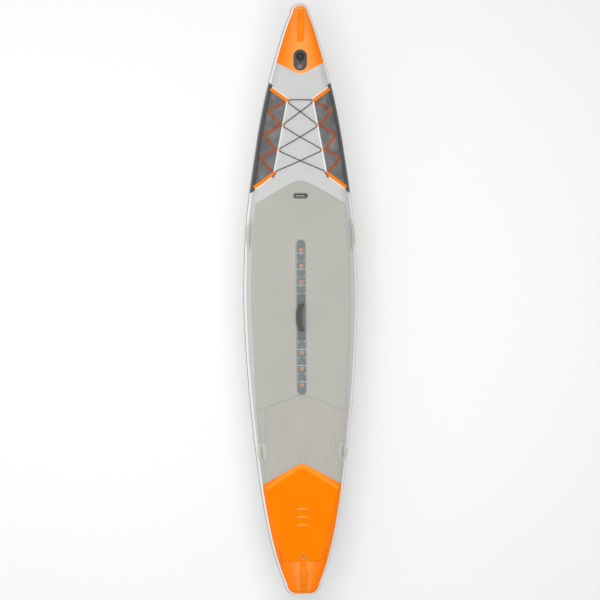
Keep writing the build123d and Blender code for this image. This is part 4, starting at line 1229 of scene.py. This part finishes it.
def bungee_path():
    def turn(key, side, forward):
        ordered = LACES[key][::-1] if forward else LACES[key]
        return [skin(side * x, y, 6.0) for x, y in ordered]

    low, high = 3.6, 10.6
    up = [skin(-173, 799, 9.6)] + turn("end", -1, True) + [skin(-1, 896, low)]
    up += turn("low", 1, True) + [skin(1, 1048, low)]
    up += turn("mid", -1, True) + [skin(-1, 1210, low)]
    up += turn("top", 1, True)
    down = turn("top", -1, False) + [skin(1, 1210, high)]
    down += turn("mid", 1, False) + [skin(-1, 1048, high)]
    down += turn("low", -1, False) + [skin(1, 896, high)]
    down += turn("end", 1, False) + [skin(173, 799, 9.6)]
    return rounded_path(up + down, 9.0, 4.0)


def folded_loop(name, origin, axes, profile, wide, material, thick, **extra):
    """Strap sewn back on itself: profile is its closed side line in the (across, up) plane."""
    across, along, up = axes
    line = [(origin + across * a + up * b, wide / 2, along) for a, b in profile]
    return webbing(name, line, material, thick, **extra)


def build_bungee():
    path = bungee_path()
    round_tube("bungee cord", path, 3.0, M["bungee"], 16, stands_for=["bungee_cord"])
    for end, inner in ((path[0], path[2]), (path[-1], path[-3])):
        way = (end - inner).normalized()
        marks = [-1.0, 0.0, 1.2, 3.0, 5.2, 6.2, 7.4, 9.6, 11.6, 12.6, 13.0]
        sizes = [3.0, 3.6, 4.5, 4.7, 4.3, 3.7, 4.3, 4.6, 4.2, 3.0, 1.2]
        word = "left" if end.x < 0 else "right"
        round_tube(f"bungee knot {word}", [end + way * m for m in marks], 4.0, M["bungee"], 18, sizes,
                   stands_for=["bungee_stoppers"] if end.x > 0 else (), slot="hard_black")
    for key, ((ax, ay), (bx, by)) in LACES.items():
        for side, word in ((-1, "left"), (1, "right")):
            x = side * (ax + bx) / 2
            y = (ay + by) / 2
            along = Vector((side * (ax - bx), ay - by, 0)).normalized()
            across = Vector((side * abs(along.y), -side * along.x * abs(along.y) / (along.y or 1), 0))
            profile = [(11, 1.3), (6, 4.6), (3.6, 8.4), (1.6, 10.1), (0, 10.5), (-1.8, 10.1), (-3.8, 8.6),
                       (-4.6, 6.0), (-3.9, 3.4), (-2.2, 1.8), (0, 1.25), (5, 1.1), (11, 1.1)]
            origin = skin(x, y, 0.0)
            folded_loop(f"bungee loop {key} {word}", origin, (across, along, Vector((0, 0, 1))), profile,
                        10, M["orange_web"], 1.2,
                        stands_for=["bungee_loops"] if (key, side) == ("top", 1) else ())


# ---- straps and handles --------------------------------------------------------------------
# y, side, inset from the outline, layer under it, half loop, tab, rise, half width, lean
STRAPS = {
    "carry_handle": (-112, 0, 0, 3.4, 93, 44, 34, 21, -31),
    "nose_strap": (1762, 0, 0, 1.1, 64, 36, 27, 19, 0),
    "tail_strap": (-1785, 0, 0, 1.1, 64, 30, 27, 21, 12),
    "mid_handle": (421, 1, 26, 0, 75, 28, 22, 12.5, 0),
    "rear_handle": (-983, 1, 31, 0, 38, 23, 20, 12.5, 0),
    "tail_handle": (-1645, 1, 35, 1.1, 32, 21, 17, 9.5, 0),
}
AXIS = 9.0


def plane_at(y, side=0, inset=0.0, span=2.0, lift=0.0):
    """Origin and axes of a plane that rests on two points of the skin."""
    def place(at, extra=0.0):
        if side == 0:
            return skin(0.0, at)
        x = edge_x(at, inset + extra)
        return skin(side * x, at)

    front, back = place(y + span / 2), place(y - span / 2)
    forward = (front - back).normalized()
    across = Vector((1, 0, 0)) if side == 0 else (place(y, -1) - place(y, 1)) * side
    normal = across.cross(forward).normalized()
    right = forward.cross(normal)
    return (front + back) / 2 + normal * lift, right, forward, normal


def local(frame_axes, x, y, z):
    origin, right, forward, normal = frame_axes
    return origin + right * x + forward * y + normal * z


def strap_axes(name, side):
    y, _, inset, base, reach, tab = STRAPS[name][:6]
    return plane_at(y, side, inset, 2 * reach + tab, base)


def strap_station(name, axes, side, along, width=None):
    """Centre, half width and across direction of a strap at a local distance from its middle."""
    _, _, _, base, reach, _, rise, wide, lean = STRAPS[name]
    away = abs(along)
    start = reach + 1.0
    foot = 3.1
    if side == 0 and away > reach:
        spot = local(axes, 0, along, 0)
        foot = mid_height(spot.y) + half_thickness(spot.y, base + 3.1) - spot.z
    marks = [(0, rise), (0.5 * reach, 0.97 * rise), (0.8 * reach, 0.52 * rise + 0.48 * AXIS),
             (reach, AXIS)]
    if away <= reach:
        height = smooth_line(marks, away)
    else:
        fall = smooth_step(away, start, start + 9.0)
        height = AXIS + (foot - AXIS) * fall
    if width is None:
        waist = 0.72 if name in ("mid_handle", "rear_handle", "tail_handle", "carry_handle") else 0.9
        near = math.exp(-((away - reach) / (0.16 * reach)) ** 2)
        width = wide * (1 - (1 - waist) * near)
        if name == "carry_handle":
            width = min(width, 15.2 + 6 * smooth_step(away, 90, 104))
    turn = math.radians(lean) * (1 - smooth_step(away, 0.55 * reach, start))
    sway = -5.0 if name == "carry_handle" else 0.0
    x = (height - AXIS) * math.sin(turn) + sway * (1 - smooth_step(away, 12, 68))
    z = AXIS + (height - AXIS) * math.cos(turn)
    across = axes[1] * math.cos(turn) - axes[3] * math.sin(turn)
    return local(axes, x, along, z), width, across


def smooth_line(marks, at):
    """Monotone curve through a few marks."""
    for (a, p), (b, q) in zip(marks, marks[1:]):
        if at <= b:
            k = marks.index((a, p))
            before = marks[k - 1] if k else (-(marks[1][0]), marks[1][1])
            after = marks[k + 2] if k + 2 < len(marks) else (2 * b - a, 2 * q - p)
            m0 = (q - before[1]) / (b - before[0])
            m1 = (after[1] - p) / (after[0] - a)
            t = (at - a) / (b - a)
            h = b - a
            return ((2 * t**3 - 3 * t**2 + 1) * p + (t**3 - 2 * t**2 + t) * h * m0
                    + (3 * t**2 - 2 * t**3) * q + (t**3 - t**2) * h * m1)
    return marks[-1][1]


def patch_point(name, side, x, y, lift):
    """Point on the layer under a strap, conforming to the hull, at local x and y."""
    y0, _, inset, base = STRAPS[name][:4]
    _, _, forward, _ = strap_axes(name, side)
    world_y = y0 + y * forward.y
    if side == 0:
        return skin(x, world_y, base + lift)
    reach = girth(edge_x(world_y, inset), world_y)
    return skin(side * arc_x(reach + side * x, world_y), world_y, base + lift)


def strap_patch(name, side, end, word, material, nodes=()):
    _, _, _, _, reach, tab, _, wide, _ = STRAPS[name]
    middle = end * (reach + 8 + reach + tab + 4) / 2
    outline = rounded_box(wide + 2.6, (tab - 4) / 2, 5)
    rings = []
    for inset, lift in ((0, 0.15), (0, 1.0), (0.4, 1.3), (1.1, 1.4)):
        rings.append([patch_point(name, side, x, middle + y, lift) for x, y in shrunk(outline, inset)])
    for k in (0.7, 0.35):
        rings.append([patch_point(name, side, x * k, middle + y * k, 1.4) for x, y in outline])
    points, faces = tube_rings(rings)
    made = piece(f"{name} patch {word}", points, faces, material, stands_for=nodes)
    sharpen(made, 50)


def rounded_box(half_x, half_y, radius, steps=6):
    points = []
    for quarter in range(4):
        cx = (half_x - radius) * (1 if quarter in (0, 3) else -1)
        cy = (half_y - radius) * (1 if quarter in (0, 1) else -1)
        for i in range(steps + 1):
            angle = math.pi / 2 * (quarter + i / steps)
            points.append((cx + radius * math.cos(angle), cy + radius * math.sin(angle)))
    return points


def strap(name, side, material, thread, nodes=()):
    """Both halves of a strap, each rising from its tab on the board into the raised loop, with their box
    stitches.
    """
    _, _, _, _, reach, tab, _, wide, _ = STRAPS[name]
    word = {-1: "_left", 0: "", 1: "_right"}[side]
    body = name + word
    axes = strap_axes(name, side)
    total = reach + 1 + tab
    for end, label in ((1, "front"), (-1, "rear")):
        stops = spread(0.0, reach - 12, 16)[:-1] + spread(reach - 12, reach + 14, 18)
        stops += spread(reach + 14, total, 10)[1:]
        line = [strap_station(name, axes, side, end * a) for a in stops]
        obj = webbing(f"{body} {label} half", line, material, 2.3, body=None,
                      stands_for=nodes if end > 0 else ())
        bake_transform(obj)
        near, far = reach + 14, total - 3
        half = wide - 3.2
        frame_rows = []
        box = [(-half, near), (half, near), (half, far), (-half, far), (-half, near)]
        cross = [(-half, near), (half, far)]
        other = [(half, near), (-half, far)]
        for route in (box, cross, other):
            fine = []
            for (ax, ay), (bx, by) in zip(route, route[1:]):
                steps = max(1, min(6, int(math.hypot(bx - ax, by - ay) / 2.8)))
                fine += [(ax + (bx - ax) * t / steps, ay + (by - ay) * t / steps) for t in range(steps)]
            fine.append(route[-1])
            row = []
            for x, y in fine:
                centre, _, across = strap_station(name, axes, side, end * y)
                row.append(centre + across.normalized() * x + axes[3] * 1.35)
            frame_rows.append(row)
        made = stitches(f"{body} {label} stitches", frame_rows, thread, 0.42, 2.6, 1.0)


def build_grip():
    """Padded sleeve on the carry handle, with rolled ends and a seam."""
    axes = strap_axes("carry_handle", 0)
    half_widths = [(0, 18.6), (30, 18.3), (60, 17.9), (87, 17.6)]
    rings = []
    uvs = []
    alongs = [-88, -87.7, -86.5, -84, -81] + spread(-78, 78, 50) + [81, 84, 86.5, 87.7, 88]
    for along in alongs:
        wide = smooth_line(half_widths, min(87.0, abs(along)))
        centre, _, across = strap_station("carry_handle", axes, 0, along, wide)
        across = across.normalized()
        up = across.cross(axes[2]).normalized()
        edge = min(1.0, (88 - abs(along)) / 1.5)
        roll = 0.9 * math.exp(-((abs(along) - 85) / 2.2) ** 2)
        puff = 4.2 + 0.35 * math.sin(along * 0.13) + roll
        size = 0.62 + 0.38 * math.sqrt(edge)
        ring = []
        for k in range(30):
            angle = 2 * math.pi * k / 30
            c, s = math.cos(angle), math.sin(angle)
            px = math.copysign(abs(c) ** 0.62, c) * (wide + roll) * (0.9 + 0.1 * size)
            pz = math.copysign(abs(s) ** 0.75, s) * puff * size
            if abs(c) > 0.93:
                pz *= 0.8
            ring.append(centre + across * px + up * pz)
            uvs.append((px * MM, along * MM))
        rings.append(ring)
    points, faces = tube_rings(rings)
    grip = piece("carry grip", points, faces, M["grip"], body="carry_handle", uvs=uvs,
                 stands_for=["carry_handle_grip"])
    seams = []
    for k in (-1, 1):
        row = []
        for along in spread(-82, 82, 46):
            wide = smooth_line(half_widths, abs(along))
            centre, _, across = strap_station("carry_handle", axes, 0, along, wide)
            up = across.cross(axes[2]).normalized()
            row.append(centre + across.normalized() * k * (wide - 4.0) + up * 3.9)
        seams.append(row)
    for k in (-1, 1):
        row = []
        for x in spread(-11, 11, 8):
            centre, _, across = strap_station("carry_handle", axes, 0, k * 79, 17)
            up = across.cross(axes[2]).normalized()
            row.append(centre + across.normalized() * x + up * 4.6)
        seams.append(row)
    stitches("carry grip stitches", seams, M["thread_dark"], 0.5, body="carry_handle", slot="grip")


def build_straps():
    strap("carry_handle", 0, M["grey_web"], M["thread_pale"],
          ["carry_handle_webbing", "carry_handle_tabs"])
    strap("nose_strap", 0, M["orange_web"], M["thread_orange"],
          ["nose_strap", "end_strap_tabs"])
    strap("tail_strap", 0, M["orange_web"], M["thread_orange"], ["tail_strap"])
    for side, word in ((-1, "left"), (1, "right")):
        extra = ["side_handle_tabs"] if side > 0 else []
        strap("mid_handle", side, M["light_web"], M["thread_pale"],
              [f"mid_handle_{word}"] + extra)
        strap("rear_handle", side, M["light_web"], M["thread_pale"],
              [f"rear_handle_{word}"])
        strap("tail_handle", side, M["orange_web"], M["thread_orange"],
              [f"tail_handle_{word}"])
    for end, label in ((1, "front"), (-1, "rear")):
        strap_patch("carry_handle", 0, end, label, M["patch_strip"],
                    ["carry_handle_patches"] if end > 0 else ())
        for name in ("nose_strap", "tail_strap"):
            strap_patch(name, 0, end, label, M["patch_orange"],
                        ["end_strap_patches"] if (name, end) == ("nose_strap", 1) else ())
        for side, word in ((-1, "left"), (1, "right")):
            for name in ("mid_handle", "rear_handle", "tail_handle"):
                colour = {"mid_handle": "patch_grey", "rear_handle": "patch_pad",
                          "tail_handle": "patch_orange"}[name]
                strap_patch(name, side, end, f"{label} {word}", M[colour],
                            ["side_handle_patches"] if (name, side, end) == ("mid_handle", 1, 1) else ())
    build_grip()


# ---- valve plate, leash point and fin patch ------------------------------------------------
def build_fittings():
    outline = [(x, y) for x, y in stadium(135, 87, 14)]
    flat_slab("valve surround", outline, (0, 1542), 1.2, 2.5, M["plate"], 0.6,
              stands_for=["valve_plate"])
    rim_line("valve surround bead", outline, (0, 1542), 2.4, 1.3, 2.4, 2.8, M["rubber"],
             slot="patch_dark")
    for i, (x, y, w, h) in enumerate(((0, 1508, 22, 3), (-12, 1496, 9, 5), (4, 1496, 12, 5))):
        flat_slab(f"valve mark {i + 1}", rounded_box(w / 2, h / 2, 1.2), (x, y), 2.45, 2.75,
                  M["numeral"] if i == 2 else M["badge_rim"], 0.1, slot="patch_dark")
    axes = plane_at(1566, 0, 0.0, 70)
    for i in range(3):
        marks = [2 * math.pi * (i + k / 12) / 3 for k in range(9)]
        ring = [local(axes, 5.2 * math.cos(a), 5.2 * math.sin(a), 15.3) for a in marks]
        round_tube(f"valve cap mark {i + 1}", ring, 0.55, M["badge_rim"], 8, body="valve_cap",
                   slot="hard_black")
    axes = plane_at(-1628, 0, 0.0, 50)
    disc_slab("leash patch", stadium(35, 35, 14), (0, -1628), 6.5, 7.9, M["patch_orange"], 0.6,
              stands_for=["leash_patch"])
    side_line = [(15, 10.4), (6, 10.5), (0, 10.9), (-6, 12.6), (-10, 14.3), (-14, 14.95), (-16.2, 14.2),
                 (-17.1, 11.9), (-16.2, 9.7), (-14, 8.85), (-8, 8.7), (0, 8.75), (15, 8.8)]
    line = [(local(axes, 0, a, b), 10.0, axes[1]) for a, b in side_line]
    webbing("leash loop", line, M["orange_web"], 1.4, stands_for=["leash_loop"])
    rows = []
    for route in ([(-8, 3), (8, 3), (8, 13), (-8, 13), (-8, 3)], [(-8, 3), (8, 13)], [(8, 3), (-8, 13)]):
        row = []
        for (ax, ay), (bx, by) in zip(route, route[1:]):
            row += [local(axes, ax + (bx - ax) * t / 4, ay + (by - ay) * t / 4, 11.2) for t in range(4)]
        row.append(local(axes, *route[-1], 11.2))
        rows.append(row)
    stitches("leash loop stitches", rows, M["thread_orange"], 0.4, 2.2, 0.9, slot="webbing_orange")
    outline = rounded_box(55, 180, 30, 12)
    rings = []
    for inset, lift in ((0, 0.2), (0, 1.0), (0.5, 1.35), (1.2, 1.4)):
        rings.append([skin(x, -1480 + y, lift, True) for x, y in shrunk(outline, inset)])
    hole = rounded_box(41, 166, 6, 12)
    rings.append([skin(x, -1480 + y, 1.4, True) for x, y in hole])
    rings.append([skin(x, -1480 + y, 0.2, True) for x, y in hole])
    points, faces = tube_rings(rings + [rings[0]], capped=False)
    sharpen(piece("fin box patch", points, faces, M["patch_grey"], stands_for=["fin_box_patch"]), 50)


# ---- camera, light and floor ---------------------------------------------------------------
def area(name, place, aim, power, size, color=(1, 1, 1)):
    light = bpy.data.lights.new(name, "AREA")
    light.shape = "RECTANGLE"
    light.size, light.size_y = size
    light.energy = power
    light.color = color
    obj = bpy.data.objects.new(name, light)
    obj.location = place
    obj.rotation_euler = (Vector(aim) - Vector(place)).to_track_quat("-Z", "Y").to_euler()
    bpy.context.scene.collection.objects.link(obj)
    return obj


def build_stage():
    floor_z = cad_box[0][2]
    reach = 14.0
    corners = [(-reach, -reach), (reach, -reach), (reach, reach), (-reach, reach)]
    mesh = bpy.data.meshes.new("floor")
    mesh.from_pydata([(x, y, floor_z - 0.001) for x, y in corners], [], [(0, 1, 2, 3)])
    paint = Paint("floor", (0.93, 0.93, 0.93), 0.8, specular=0.1)
    paint.vary(paint.noise(900, 2), 0.995, 1.005)
    mesh.materials.append(paint.material)
    floor = bpy.data.objects.new("floor", mesh)
    bpy.context.scene.collection.objects.link(floor)
    world = bpy.data.worlds.new("studio")
    bpy.context.scene.world = world
    world.use_nodes = True
    background = world.node_tree.nodes["Background"]
    background.inputs["Color"].default_value = (1, 1, 1, 1)
    background.inputs["Strength"].default_value = 0.61
    area("top", (-0.3, 0.0, 6.0), (0, 0, 0.1), 180, (1.5, 6.5))
    area("key", (-4.0, 1.0, 4.5), (0, 0, 0.1), 50, (3.0, 5.0))


def build_camera():
    """Long lens straight above the deck, four degrees to the board's left, nose up."""
    camera = bpy.data.cameras.new("camera")
    camera.sensor_width = 36.0
    distance = 26.0
    seen = 3.872
    camera.lens = camera.sensor_width * distance / seen
    camera.clip_end = 100.0
    obj = bpy.data.objects.new("camera", camera)
    lean = math.radians(4.0)
    aim = Vector((-0.004, 0.0, 0.10))
    obj.location = aim + Vector((-math.sin(lean), 0, math.cos(lean))) * distance
    right = Vector((math.cos(lean), 0, math.sin(lean)))
    up = Vector((0, 1, 0))
    back = right.cross(up)
    roll = Matrix.Rotation(math.radians(-0.41), 3, "Z")
    obj.rotation_euler = (Matrix((right, up, back)).transposed() @ roll).to_euler()
    bpy.context.scene.collection.objects.link(obj)
    bpy.context.scene.camera = obj


# ---- BUILD ---------------------------------------------------------------------------------
build_camera()
build_stage()
build_hull()
build_covers()
build_deck_pads()
build_handle_bases()
build_tail_pad()
build_strip()
build_nets()
build_bungee()
build_straps()
build_fittings()
bpy.context.scene.view_settings.view_transform = "Standard"

KEPT = {
    "drop_stitch_yarns": "yarn", "strip_marks": "mark", "strip_numerals": "numeral",
    "valve_body": "black", "valve_nut": "black",
    "valve_gasket": "rubber", "valve_plunger": "black", "valve_spring": "steel", "valve_cap": "black",
    "valve_cap_seal": "rubber", "valve_tether": "rubber", "leash_ring": "steel", "fin_box": "black",
    "fin_pin": "steel", "fin_screw": "steel", "fin_nut_plate": "brass", "fin": "fin",
}
for node, key in KEPT.items():
    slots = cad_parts[node].data.materials
    slots.clear()
    slots.append(M[key])
